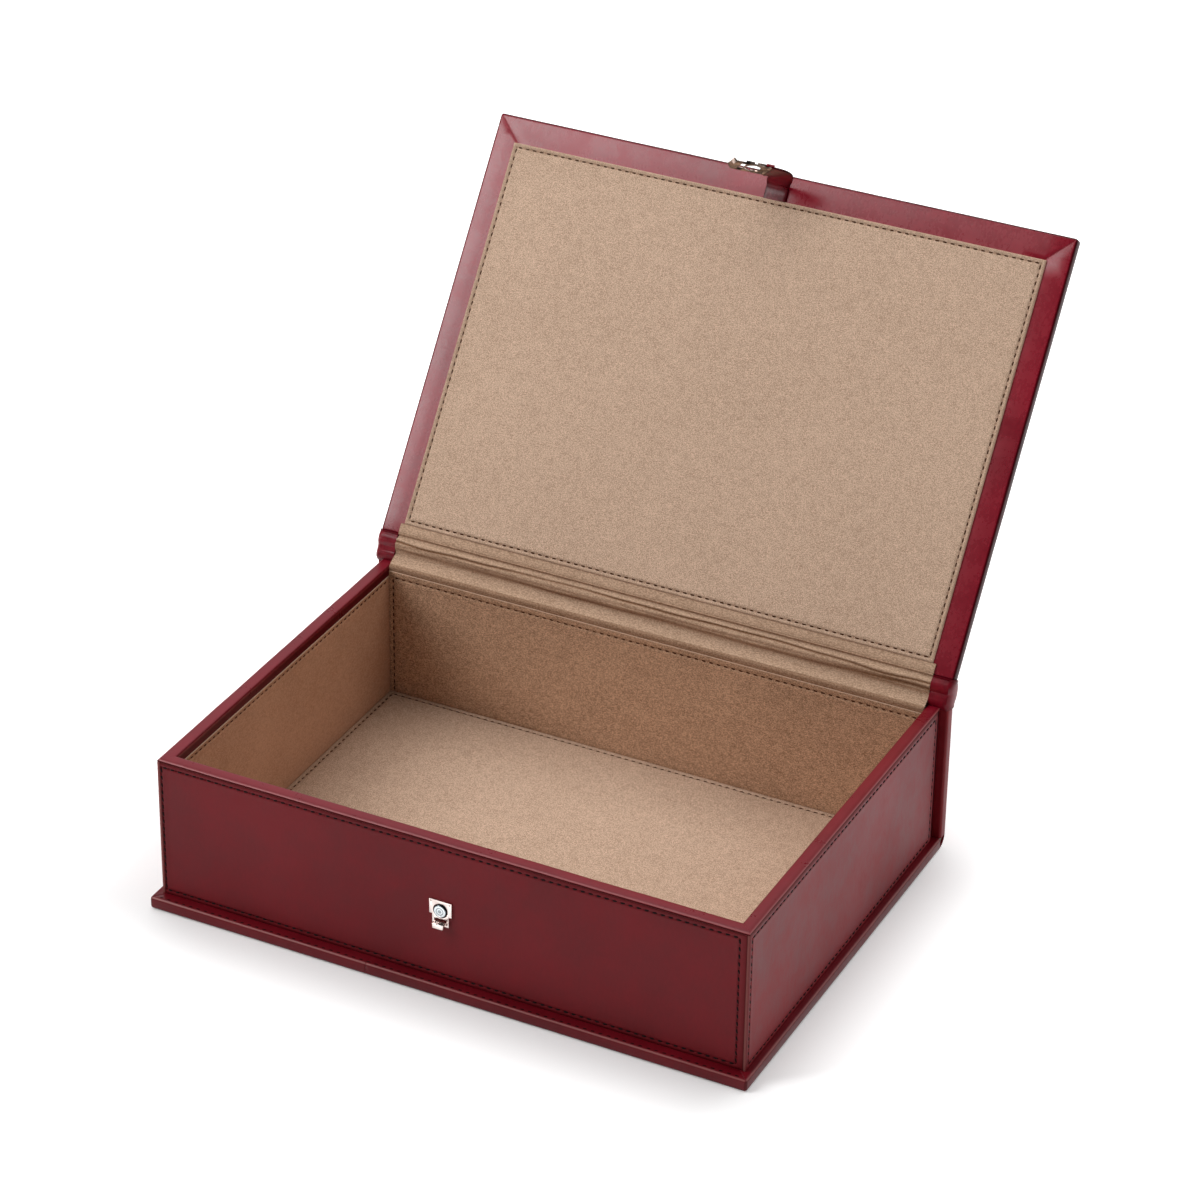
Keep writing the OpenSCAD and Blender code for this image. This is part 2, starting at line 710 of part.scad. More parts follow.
module lock_case() {
    w = case_wall;
    color(nickel) translate([lock_x - case_size[0] / 2, core_y, case_bottom]) difference() {
        cube(case_size);
        translate([w, -1, w]) cube([case_size[0] - 2 * w, case_size[1] + 1 - w, case_size[2] - 2 * w]);
    }
}

// The button: a flat head, and a cone behind it that lifts the catch
cone_back = tray_y + 2.9;
cone_len = button_travel;
module lock_button() {
    head_back = cone_back - cone_len - slit;
    face = plate_face - button_out;
    bevel = 0.4;
    color(nickel) translate([lock_x, head_back, button_z]) rotate([90, 0, 0]) {
        cylinder(r = button_r, h = head_back - face - bevel);
        translate([0, 0, head_back - face - bevel])
            cylinder(r1 = button_r, r2 = button_r - bevel, h = bevel);
        translate([0, 0, -slit]) cylinder(r = shaft_r + catch_lift, h = slit);
        translate([0, 0, -slit - cone_len]) cylinder(r1 = shaft_r, r2 = shaft_r + catch_lift, h = cone_len);
        translate([0, 0, -slit - cone_len - 1.1]) cylinder(r = shaft_r, h = 1.1);
    }
}

// The catch: a tongue with a downward nose in front of the hasp, on a slide with a window that
// the button's cone lifts
slide_front = cone_back;
slide_t = 0.8;
module lock_catch() {
    face = plate_face - catch_out;
    nose_back = plate_face - hasp_gap - hasp_t - 0.15;
    r = 1;
    front = concat(arc(-catch_w / 2 + r, face + r, r, 180, 270),
                   arc(catch_w / 2 - r, face + r, r, 270, 360));
    color(nickel) translate([lock_x, 0, 0]) {
        difference() {
            translate([-4.3, slide_front, catch_low]) cube([8.6, slide_t, slide_high]);
            translate([-3.6, slide_front - 1, button_z - shaft_r - catch_lift - 1.3])
                cube([7.2, slide_t + 2, 2 * shaft_r + catch_lift + 1.3 + slit]);
        }
        translate([0, 0, catch_low]) linear_extrude(catch_t)
            polygon(concat(front, [[catch_w / 2, slide_front], [-catch_w / 2, slide_front]]));
        translate([0, 0, catch_low - nose_h]) linear_extrude(nose_h + catch_t)
            polygon(concat(front, [[catch_w / 2, nose_back], [-catch_w / 2, nose_back]]));
    }
}

// A bowed leaf between the catch and the top of its box
module catch_spring() {
    top = case_bottom + case_size[2] - case_wall;
    low = catch_low + slide_high;
    rise = top - low - 0.15;
    color(nickel) translate([lock_x, slide_front + 0.1, low + 0.1]) rotate([90, 0, 0]) mirror([0, 0, 1])
        linear_extrude(0.6) polygon(band(
            [for (i = [-6:6]) [i * 0.5, (rise - 0.2) * (1 - pow(i / 6, 2))]], 0.15));
}

base_board();
base_cover();
spine_board();
spine_cover();
joint_leather();
wall_front();
wall_back();
wall_left();
wall_right();
rim_front();
rim_left();
rim_right();
panel_front();
panel_left();
panel_right();
lining_floor();
lining_front();
lining_back();
lining_left();
lining_right();
thread_panels();
thread_linings();
thread_base();
hinge_leather();
hinge_tabs();
hinge_suede();
hinge_strip();
lid_board();
lid_cover();
lid_panel();
thread_lid();
strap_root();
strap();
hasp_plate();
hasp_rivets();
hasp_backing();
lock_plate();
lock_case();
lock_rivets();
lock_button();
lock_catch();
catch_spring();
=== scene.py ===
"""Looks of the document box: stitched leather over board, suede linings, thread and a nickel lock.
Lengths in this script are in millimetres unless they are handed to Blender, which takes metres."""
import json
import math

import bmesh
import bpy
import numpy as np
from mathutils import Matrix, Vector


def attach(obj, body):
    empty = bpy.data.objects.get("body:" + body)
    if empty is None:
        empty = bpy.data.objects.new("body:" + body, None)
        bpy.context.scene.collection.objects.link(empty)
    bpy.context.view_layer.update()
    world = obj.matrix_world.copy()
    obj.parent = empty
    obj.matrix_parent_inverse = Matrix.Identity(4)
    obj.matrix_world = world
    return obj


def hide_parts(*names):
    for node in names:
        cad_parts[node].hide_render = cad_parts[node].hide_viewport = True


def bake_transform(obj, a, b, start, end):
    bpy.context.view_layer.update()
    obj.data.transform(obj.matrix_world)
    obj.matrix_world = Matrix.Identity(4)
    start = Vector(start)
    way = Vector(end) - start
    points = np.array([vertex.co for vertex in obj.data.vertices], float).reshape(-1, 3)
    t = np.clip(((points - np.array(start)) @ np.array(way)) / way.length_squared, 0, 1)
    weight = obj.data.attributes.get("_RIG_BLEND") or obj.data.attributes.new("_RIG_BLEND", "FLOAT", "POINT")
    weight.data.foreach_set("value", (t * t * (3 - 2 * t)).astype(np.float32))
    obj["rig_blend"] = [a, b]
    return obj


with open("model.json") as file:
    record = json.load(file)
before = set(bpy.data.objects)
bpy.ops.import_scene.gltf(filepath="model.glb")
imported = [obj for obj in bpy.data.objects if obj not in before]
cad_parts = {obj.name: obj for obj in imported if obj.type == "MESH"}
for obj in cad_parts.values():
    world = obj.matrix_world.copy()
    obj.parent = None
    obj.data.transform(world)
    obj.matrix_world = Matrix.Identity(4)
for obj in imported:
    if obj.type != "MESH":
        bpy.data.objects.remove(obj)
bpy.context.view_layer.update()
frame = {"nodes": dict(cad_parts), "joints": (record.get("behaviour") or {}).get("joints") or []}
MM = 0.001

# Stitching, as on the box: pitch, thread width, and how far rows lie in from the edges
PITCH = 4.3
THREAD = 1.0
LEATHER_INSET = 2.6
FRONT_SHIFT = -1.4
SUEDE_INSET = 2.3
SUEDE_CORNER = 1.4      # linings pass under their neighbour's edge by its thickness
EDGE_ROUND = 1.5
STRAP_WIDE, STRAP_THICK = 13.0, 1.0


# ------------------------------------------------------------------ places
def basis(x, y, z, origin=(0, 0, 0)):
    """The place whose own axes point along x, y and z."""
    place = Matrix((x, y, z)).transposed().to_4x4()
    place.translation = origin
    return place


WORLD = basis((1, 0, 0), (0, 1, 0), (0, 0, 1))
FRONT = basis((1, 0, 0), (0, 0, 1), (0, -1, 0))
REAR = basis((-1, 0, 0), (0, 0, 1), (0, 1, 0))
RIGHT = basis((0, 1, 0), (0, 0, 1), (1, 0, 0))
LEFT = basis((0, -1, 0), (0, 0, 1), (-1, 0, 0))

joints = {j["name"]: j for j in frame["joints"]}
opened = math.radians(joints["lid_hinge"]["range_deg"][1])
bend = Vector(joints["lid_hinge"]["pos_m"])
BEND_BACK, BEND_OVER = 6.1, 4.9     # the bending line, behind the lid's end and over its inner face
lid_up = Vector((0, -math.cos(opened), math.sin(opened)))
lid_off = Vector((0, -math.sin(opened), -math.cos(opened)))
LID = basis((1, 0, 0), lid_up, lid_off, bend + (lid_up * BEND_BACK + lid_off * BEND_OVER) * MM)


def extent(node, place=WORLD):
    """The lowest and highest corner of a CAD node along a place's own axes."""
    back = np.array(place.inverted())
    co = np.array([v.co for v in frame["nodes"][node].data.vertices]) @ back[:3, :3].T + back[:3, 3]
    return co.min(0) / MM, co.max(0) / MM


def lid_yz(up, off):
    """The Y and Z of a point given up the lid and off its inner face."""
    p = LID @ Vector((0, up * MM, off * MM))
    return np.array([p.y, p.z]) / MM


# ------------------------------------------------------------------ mesh helpers
def quads(rows, cols, closed=False):
    """The faces between the points of a grid, with its columns joined round where it is closed."""
    i, j = np.meshgrid(np.arange(rows - 1), np.arange(cols if closed else cols - 1), indexing="ij")
    k = (j + 1) % cols
    return np.stack([i * cols + j, i * cols + k, (i + 1) * cols + k, (i + 1) * cols + j], -1).reshape(-1, 4)


def waves(x, y, reach, seed, count=7):
    """A smooth uneven field of about -1 to 1, with hills about reach across."""
    rng = np.random.default_rng(seed)
    total = 0
    for _ in range(count):
        turn, shift = rng.uniform(0, 2 * math.pi, 2)
        k = 2 * math.pi / (reach * rng.uniform(0.7, 1.7))
        total = total + np.sin(k * (x * math.cos(turn) + y * math.sin(turn)) + shift)
    return total / math.sqrt(2 * count)


def mark(mesh, **marks):
    """Gives each vertex the numbers that the finishes read by name."""
    for key, values in marks.items():
        if values is not None:
            data = mesh.attributes.new(key, "FLOAT", "POINT").data
            data.foreach_set("value", np.asarray(values, np.float32).ravel())


def add_piece(name, co, faces, finish, body="tray", instead_of=(), place=WORLD,
              wear=None, sharp=38, bends=None, pale=None):
    """Makes one piece of the box. wear and pale are numbers for each vertex, where the finish is
    darker and where it is lighter: darker for burnish and for painted shade, lighter for cut edges and
    for painted highlights. bends is (body, body, start, end) for a piece across a joint."""
    mesh = bpy.data.meshes.new(name)
    mesh.from_pydata((np.asarray(co, float) * MM).tolist(), [], [list(map(int, f)) for f in faces])
    mesh.transform(place)
    mesh.materials.append(finish)
    mark(mesh, wear=wear, pale=pale)
    bm = bmesh.new()
    bm.from_mesh(mesh)
    bmesh.ops.recalc_face_normals(bm, faces=bm.faces)
    bm.to_mesh(mesh)
    bm.free()
    return finish_piece(name, mesh, body, instead_of, sharp, bends)


def finish_piece(name, mesh, body, instead_of, sharp, bends=None):
    """Puts a mesh in the scene on its body, in place of its CAD nodes."""
    mesh.polygons.foreach_set("use_smooth", [True] * len(mesh.polygons))
    mesh.set_sharp_from_angle(angle=math.radians(sharp))
    obj = bpy.data.objects.new(name, mesh)
    bpy.context.scene.collection.objects.link(obj)
    if instead_of:
        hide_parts(*instead_of)
    if bends:
        a, b, start, end = bends
        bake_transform(obj, a, b, start=[c * MM for c in start], end=[c * MM for c in end])
    else:
        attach(obj, body)
    return obj


def loft(rings):
    """A tube through rings of points, with flat ends."""
    n, m = rings.shape[:2]
    faces = quads(n, m, closed=True).tolist()
    return rings.reshape(-1, 3), faces + [list(range(m)), list(range((n - 1) * m, n * m))[::-1]]


def thicken(grid, thick):
    """A sheet through a grid of points, with its other face thick away, and closed edges."""
    n, m = grid.shape[:2]
    normal = np.cross(np.gradient(grid, axis=0), np.gradient(grid, axis=1))
    normal /= np.linalg.norm(normal, axis=-1, keepdims=True)
    co = np.concatenate([grid.reshape(-1, 3), (grid - normal * thick).reshape(-1, 3)])
    face = quads(n, m)
    rim = ([j for j in range(m)] + [i * m + m - 1 for i in range(1, n)]
           + [(n - 1) * m + j for j in range(m - 2, -1, -1)] + [i * m for i in range(n - 2, 0, -1)])
    edge = [[a, b, b + n * m, a + n * m] for a, b in zip(rim, rim[1:] + rim[:1])]
    return co, face.tolist() + (face[:, ::-1] + n * m).tolist() + edge


def smooth_path(points, count):
    """count points evenly along a smooth curve through the points given."""
    p = np.array(points, float)
    ends = np.vstack([2 * p[0] - p[1], p, 2 * p[-1] - p[-2]])
    out = []
    for a, b, c, d in zip(ends, ends[1:], ends[2:], ends[3:]):
        for t in np.linspace(0, 1, 24, endpoint=False):
            out.append(0.5 * (2 * b + (c - a) * t + (2 * a - 5 * b + 4 * c - d) * t * t
                              + (3 * b - a - 3 * c + d) * t ** 3))
    out = np.array(out + [p[-1]])
    far = np.concatenate([[0], np.cumsum(np.linalg.norm(np.diff(out, axis=0), axis=1))])
    want = np.linspace(0, far[-1], count)
    return np.stack([np.interp(want, far, out[:, k]) for k in range(out.shape[1])], -1)


# ------------------------------------------------------------------ finishes
def srgb(r, g, b):
    """A colour given as it shows on screen, 0 to 255, in Blender's linear values."""
    return tuple((c / 12.92 if c <= 0.04045 else ((c + 0.055) / 1.055) ** 2.4)
                 for c in (r / 255, g / 255, b / 255)) + (1,)


class Finish:
    """A material whose colour, roughness and bump come from nodes in the object's own space."""

    def __init__(self, name):
        self.material = bpy.data.materials.new(name)
        self.material.use_nodes = True
        self.tree = self.material.node_tree
        self.shader = self.tree.nodes["Principled BSDF"]
        self.space = self.node("ShaderNodeTexCoord").outputs["Object"]

    def node(self, kind, **values):
        made = self.tree.nodes.new(kind)
        for key, value in values.items():
            setattr(made, key, value)
        return made

    def link(self, source, socket):
        self.tree.links.new(source, socket)

    def stretched(self, x, y, z):
        made = self.node("ShaderNodeMapping")
        made.inputs["Scale"].default_value = (x, y, z)
        self.link(self.space, made.inputs["Vector"])
        return made.outputs["Vector"]

    def noise(self, size, detail=4, rough=0.55, space=None, warp=0.0):
        """Noise with grains about size millimetres across."""
        made = self.node("ShaderNodeTexNoise")
        made.inputs["Scale"].default_value = 1 / (size * MM)
        made.inputs["Detail"].default_value = detail
        made.inputs["Roughness"].default_value = rough
        made.inputs["Distortion"].default_value = warp
        self.link(space or self.space, made.inputs["Vector"])
        return made.outputs["Fac"]

    def attribute(self, name):
        return self.node("ShaderNodeAttribute", attribute_name=name).outputs["Fac"]

    def ramp(self, value, *stops):
        """stops are (place, colour or grey) pairs."""
        made = self.node("ShaderNodeValToRGB")
        ramp = made.color_ramp
        while len(ramp.elements) < len(stops):
            ramp.elements.new(0.5)
        for element, (place, colour) in zip(ramp.elements, stops):
            element.position = place
            element.color = colour if isinstance(colour, tuple) else (colour, colour, colour, 1)
        self.link(value, made.inputs["Fac"])
        return made.outputs["Color"]

    def sum(self, *parts):
        """The sum of (value, weight) pairs."""
        total = None
        for value, weight in parts:
            made = self.node("ShaderNodeMath", operation="MULTIPLY_ADD")
            self.link(value, made.inputs[0])
            made.inputs[1].default_value = weight
            if total is None:
                made.inputs[2].default_value = 0
            else:
                self.link(total, made.inputs[2])
            total = made.outputs[0]
        return total

    def mix(self, amount, a, b, kind="MIX"):
        made = self.node("ShaderNodeMix", data_type="RGBA", blend_type=kind)
        for value, socket in ((amount, made.inputs[0]), (a, made.inputs[6]), (b, made.inputs[7])):
            if hasattr(value, "node"):
                self.link(value, socket)
            else:
                socket.default_value = value
        return made.outputs[2]

    def bump(self, height, strength, depth, before=None):
        """Relief of depth millimetres between the lowest and the highest value."""
        made = self.node("ShaderNodeBump")
        made.inputs["Strength"].default_value = strength
        made.inputs["Distance"].default_value = depth * MM
        self.link(height, made.inputs["Height"])
        if before is not None:
            self.link(before, made.inputs["Normal"])
        return made.outputs["Normal"]

    def set(self, **values):
        for key, value in values.items():
            socket = self.shader.inputs[key.replace("_", " ")]
            if hasattr(value, "node"):
                self.link(value, socket)
            else:
                socket.default_value = value
        return self


def shade(colour, by):
    """A colour made darker or lighter by a factor."""
    return tuple(min(1.0, c * by) for c in colour[:3]) + (1,)


def leather(name, colour, depth=0.16, rough=0.4, shine=0.22, grain=0.035, cloud=80):
    """Waxed bridle leather: faintly cloudy dye and a fine grain. It is darker and duller where the
    wear mark says, for burnish and for painted shade, and lighter where the pale mark says,
    for cut edges and for painted highlights. cloud is the size of the clouds, grain the depth of the relief."""
    f = Finish(name)
    clouds = f.noise(cloud, 2, 0.5, warp=0.3)
    mottle = f.noise(16, 3, 0.55)
    fleck = f.noise(1.7, 3, 0.6, f.stretched(1, 1, 0.4))
    tone = f.sum((clouds, 0.45), (mottle, 0.3), (fleck, 0.25))
    dyed = f.ramp(tone, (0.40, shade(colour, 1 - depth)), (0.5, colour), (0.6, shade(colour, 1 + depth)))
    # Darker where wear says: burnish, and painted shade in grooves, stitch holes, creases and on shaded sides
    # and edges
    darkening = f.mix(f.attribute("wear"), dyed, f.mix(1.0, dyed, (0.22, 0.16, 0.2, 1), "MULTIPLY"))
    # Paler where pale says: cut edges, and painted highlights along the base's ridge and the rims' outer edge
    darkening = f.mix(f.attribute("pale"), darkening, srgb(196, 132, 126))
    relief = f.bump(f.noise(0.5, 3, 0.6), 0.4, grain, f.bump(mottle, 0.4, grain * 4))
    dull = f.ramp(f.sum((mottle, 0.6), (fleck, 0.4)), (0.35, rough - 0.05), (0.65, rough + 0.06))
    f.set(Base_Color=darkening, Roughness=dull, Normal=relief,
          Specular_IOR_Level=f.ramp(f.attribute("wear"), (0, shine), (0.8, shine * 0.1)))
    return f.material


def suede(name, colour, nap=(1, 1, 1), patch=0.05, depth=0.2, size=1.3):
    """Suede-like microfibre: a short brushed nap with a crisp speckle and faint patches."""
    f = Finish(name)
    space = f.stretched(*nap)
    patches = f.noise(70, 3, 0.5, warp=0.5)
    brushed = f.noise(5, 3, 0.6, space)
    speck = f.noise(size, 3, 0.7, space)
    tone = f.sum((patches, patch), (brushed, 0.1), (speck, 0.9 - patch))
    low = tuple(c * (1 - depth) * warm for c, warm in zip(colour, (1, 0.93, 0.85))) + (1,)
    dyed = f.ramp(tone, (0.41, low), (0.5, colour), (0.59, shade(colour, 1 + depth)))
    # Darker where wear says: painted shade in grooves, stitch holes, creases, at edges and towards walls;
    # paler at cut edges
    shaded = f.mix(f.attribute("wear"), dyed, f.mix(1.0, dyed, (0.42, 0.31, 0.23, 1), "MULTIPLY"))
    shaded = f.mix(f.attribute("pale"), shaded, srgb(232, 200, 174))
    relief = f.bump(speck, 0.8, 0.2, f.bump(brushed, 0.3, 0.2))
    f.set(Base_Color=shaded, Roughness=0.95, Normal=relief, Specular_IOR_Level=0.12,
          Sheen_Weight=0.12, Sheen_Roughness=0.5)
    f.shader.inputs["Sheen Tint"].default_value = (0.95, 0.85, 0.75, 1)
    return f.material


def thread_finish(name, colour, dark):
    f = Finish(name)
    ply = f.noise(0.28, 2, 0.5)
    f.set(Base_Color=f.ramp(ply, (0.35, dark), (0.65, colour)), Roughness=f.ramp(ply, (0.3, 0.5), (0.7, 0.7)),
          Normal=f.bump(ply, 0.6, 0.06), Specular_IOR_Level=0.08)
    return f.material


def nickel_finish(name, colour, dark, rough=0.16):
    """Polished plate with faint wiping marks and cloudier edges. Where dark lies far below colour, as on the
    hasp, its clouds are painted reflections.
    """
    f = Finish(name)
    wiped = f.noise(0.9, 5, 0.6, f.stretched(1, 1, 5))
    cloud = f.noise(4, 3, 0.5)
    f.set(Base_Color=f.ramp(cloud, (0.35, dark), (0.65, colour)), Metallic=1.0,
          Roughness=f.ramp(wiped, (0.3, rough), (0.7, rough + 0.12)), Normal=f.bump(wiped, 0.25, 0.02))
    return f.material


def board_finish(name, colour, dark):
    f = Finish(name)
    fibre = f.noise(0.9, 5, 0.7, f.stretched(1, 1, 3))
    f.set(Base_Color=f.ramp(fibre, (0.35, dark), (0.65, colour)), Roughness=0.92,
          Normal=f.bump(fibre, 0.5, 0.1))
    return f.material


RED = leather("leather", srgb(124, 20, 28), shine=0.17)
RED_BASE = leather("leather_base", srgb(104, 11, 23), shine=0.24, rough=0.34, grain=0.006)
RED_FRONT = leather("leather_front", srgb(108, 21, 28), depth=0.13, rough=0.48, shine=0.17, cloud=60)
RED_LID = leather("leather_lid", srgb(131, 7, 31), depth=0.17, rough=0.27, shine=0.5, cloud=60, grain=0.01)
RIM_RED = leather("leather_rim", srgb(116, 4, 25), depth=0.1, rough=0.32, shine=0.4, grain=0.004)
HINGE_RED = leather("leather_joint", srgb(136, 8, 32), depth=0.34, rough=0.32, shine=0.42, grain=0.06)
STRAP_RED = leather("leather_strap", srgb(106, 7, 24), depth=0.4, rough=0.3, shine=0.36, grain=0.03, cloud=12)
# The walls' turned-in leather, given a near-black red that paints the shade in the recesses where the walls'
# ends show
WALLS_SHADED_RED = leather("leather_turned_in_shaded", srgb(66, 8, 16), rough=0.5, shine=0.15)
SUEDE = suede("suede", srgb(197, 169, 147), size=0.5, depth=0.32)
# SUEDE_WALLS_SHADED and SUEDE_BACK_SHADED are the suede of SUEDE made darker and warmer for the lining walls:
# painted shade
SUEDE_WALLS_SHADED = suede("suede_walls_shaded", srgb(184, 140, 111), nap=(1, 1, 1.6), depth=0.14, patch=0.34)
SUEDE_BACK_SHADED = suede("suede_back_shaded", srgb(184, 149, 122), nap=(1, 1, 1.8), depth=0.46, size=0.68, patch=0.08)
SUEDE_JOINT = suede("suede_joint", srgb(184, 154, 130), nap=(0.5, 1, 1), size=0.55, depth=0.26)
THREAD_DARK = thread_finish("thread_leather", srgb(26, 10, 12), srgb(10, 4, 5))
THREAD_TAN = thread_finish("thread_suede", srgb(84, 50, 30), srgb(52, 29, 16))
NICKEL = nickel_finish("nickel", srgb(240, 226, 222), srgb(222, 206, 200))
# The hasp's near-black and pale clouds paint reflections of a dark room and of the lamps
HASP_PAINTED_REFLECTIONS = nickel_finish("nickel_hasp_painted_reflections", srgb(186, 164, 152), srgb(34, 28, 27), rough=0.12)
BOARD = board_finish("board", srgb(150, 138, 122), srgb(126, 114, 100))


# ------------------------------------------------------------------ stitched sheets
NEAR_ROW = (-1.3, -0.9, -0.55, -0.28, 0, 0.28, 0.55, 0.9, 1.3)
NEAR_EDGE = (0, 0.1, 0.25, 0.5, 0.9)
CLOSEST = 0.07                  # vertices of a sheet lie at least this far apart


def row_lines(size, inset, shift):
    """Places across a sheet at which it gets a vertex: dense at its edges and its stitch rows."""
    a, b = inset + shift, size - inset + shift
    row = np.linspace(a, b, 3 * round((b - a) / PITCH) + 1)
    near, edge = np.array(NEAR_ROW), np.array(NEAR_EDGE)
    every = np.sort(np.concatenate([row, a + near, b + near, edge, size - edge]))
    every = every[(every >= 0) & (every <= size)]
    keep = [every[0]]
    for v in every[1:]:
        if v - keep[-1] > CLOSEST:
            keep.append(v)
    keep[-1] = size
    return np.array(keep)


def stitched_sheet(name, node, place, finish, slot, body="tray", inset=LEATHER_INSET, shift=0.0,
                   groove=0.32, wide=0.5, puff=0.1, sway=0.05, edge=0.45, wear=0.7, seed=1,
                   which=(1, 1, 1), light=0.6, end_shade=0.0):
    """A panel or lining in its node's place: rounded edges, and stitches that pull it in. which
    tells whether it has the lower row, the upper row and the rows at its ends. groove, wide and
    puff are the depth and width of a row's groove and the swelling beside it; wear, end_shade
    and light are how dark its edges and rows are, how dark its ends are and how pale its cut edges are.
    The darkening is burnish along the edges and painted shade in the grooves, deepest at the stitch
    holes; end_shade paints shade towards the sheet's two ends."""
    lo, hi = extent(node, place)
    sx, sy, thick = hi - lo
    xs, ys = row_lines(sx, inset, shift), row_lines(sy, inset, 0)
    x, y = np.meshgrid(xs, ys, indexing="ij")
    to_edge = np.minimum(np.minimum(x, sx - x), np.minimum(y, sy - y))
    left, right, upper = inset + shift, sx - inset + shift, sy - inset
    lower = inset if which[0] else 0.25
    rows = [((left, v), (right, v)) for v, wanted in ((inset, which[0]), (upper, which[1])) if wanted]
    rows += [((v, lower), (v, upper)) for v in (left, right)] if which[2] else []
    ring, along = np.full(x.shape, 99.0), np.zeros(x.shape)
    for (ax, ay), (bx, by) in rows:
        far = np.hypot(np.maximum(np.maximum(ax - x, x - bx), 0),
                       np.maximum(np.maximum(ay - y, y - by), 0))
        along = np.where(far < ring, np.hypot(x - ax, y - ay), along)
        ring = np.minimum(ring, far)
    pull = 0.66 + 0.34 * np.cos(2 * math.pi * along / PITCH)
    dip = np.exp(-(ring / wide) ** 2)
    z = thick - groove * pull * dip + puff * np.exp(-((ring - 2.4 * wide) / (1.6 * wide)) ** 2)
    z += sway * waves(x, y, 70, seed) * np.clip(to_edge / 12, 0, 1)
    fall = np.clip(1 - to_edge / edge, 0, 1)
    z -= edge * (1 - np.sqrt(1 - fall ** 2))
    z = np.clip(z, 0.2, None)
    n, m = len(xs), len(ys)
    co = np.stack([x, y, z], -1).reshape(-1, 3)
    rim = ([i * m for i in range(n)] + [(n - 1) * m + j for j in range(1, m)]
           + [i * m + m - 1 for i in range(n - 2, -1, -1)] + list(range(m - 2, 0, -1)))
    base = co[rim] * [1, 1, 0]
    k = len(co)
    faces = quads(n, m).tolist() + [[a, b, k + (i + 1) % len(rim), k + i]
                                    for i, (a, b) in enumerate(zip(rim, rim[1:] + rim[:1]))]
    faces.append(list(range(k, k + len(rim))))
    # Darker along the edges and rows: burnish at the edges, and painted shade in the grooves, deepest at the
    # stitch holes, and towards the ends by end_shade
    holes = np.clip(np.cos(2 * math.pi * along / PITCH), 0, 1) ** 2
    worn_and_shaded = wear * np.clip(0.75 * np.exp(-to_edge / 0.6) + 0.2 * np.exp(-to_edge / 3)
                          + dip * (0.12 + 0.88 * holes), 0, 1)
    worn_and_shaded = np.clip(worn_and_shaded + end_shade * np.exp(-np.minimum(x, sx - x) / 30), 0, 1)
    worn_and_shaded = np.concatenate([worn_and_shaded.ravel(), np.full(len(rim), wear)])
    cut_edge = light * np.clip(1.25 - to_edge / 0.28, 0, 1)
    cut_edge = np.concatenate([cut_edge.ravel(), np.full(len(rim), light)])
    add_piece(name, np.concatenate([co, base]) + lo, faces, finish, body, (node,), place, worn_and_shaded,
              pale=cut_edge)
    return [(lo, place, thick - groove, row) for row in rows]


def stitch_shapes(rows, wide, sink, lean, seed):
    """Stitches along rows: each a short run of thread that dives into a hole at both ends."""
    rng = np.random.default_rng(seed)
    rings, sides = 7, 6         # of the tube that each stitch is
    s = np.linspace(-1, 1, rings)[:, None]
    turn = np.arange(sides) * 2 * math.pi / sides
    slim = 1 - 0.25 * np.abs(s) ** 3
    every, faces, used = [], [], 0
    tube = quads(rings, sides, closed=True)
    caps = [list(range(sides)), list(range((rings - 1) * sides, rings * sides))[::-1]]
    for lo, place, level, ((x0, y0), (x1, y1)) in rows:
        length = math.hypot(x1 - x0, y1 - y0)
        count = round(length / PITCH)
        step = length / count
        way = math.atan2(y1 - y0, x1 - x0)
        turned = np.array(place)[:3, :3]
        origin = np.array(place)[:3, 3] / MM
        for i in range(count):
            half = step * (0.34 + rng.normal(0, 0.01))
            tilt = way + math.radians(lean + rng.normal(0, 1.5))
            cx = x0 + (x1 - x0) * (i + 0.5) / count
            cy = y0 + (y1 - y0) * (i + 0.5) / count
            px = s * half + 0 * turn
            py = wide / 2 * slim * np.cos(turn)
            pz = level + 0.24 - sink - 0.62 * np.abs(s) ** 3.5 + wide * 0.42 * slim * np.sin(turn)
            local = np.stack([cx + px * math.cos(tilt) - py * math.sin(tilt),
                              cy + px * math.sin(tilt) + py * math.cos(tilt), pz], -1).reshape(-1, 3)
            every.append((local + lo) @ turned.T + origin)
            faces += (tube + used).tolist() + [[used + v for v in cap] for cap in caps]
            used += rings * sides
    return np.concatenate(every), faces


def stitch(name, rows, finish, body, node, wide=THREAD, sink=0.0, lean=7, seed=5):
    co, faces = stitch_shapes(rows, wide, sink, lean, seed)
    add_piece(name, co, faces, finish, body, (node,), sharp=60)


panel_rows = stitched_sheet("panel_leather_front", "panel_front", FRONT, RED_FRONT, "leather",
                            shift=FRONT_SHIFT, seed=3, wear=0.9, light=0.12)
panel_rows += stitched_sheet("panel_leather_left", "panel_left", LEFT, RED, "leather", seed=4, light=0.3)
panel_rows += stitched_sheet("panel_leather_right", "panel_right", RIGHT, RED, "leather", seed=5, light=0.3)
stitch("stitches_panels", panel_rows, THREAD_DARK, "tray", "thread_panels", lean=13)

nap = dict(groove=0.45, wide=0.7, puff=0.16, sway=0.08, edge=0.55, wear=0.6)
CORNER_INSET = SUEDE_CORNER + SUEDE_INSET
lining_rows = []
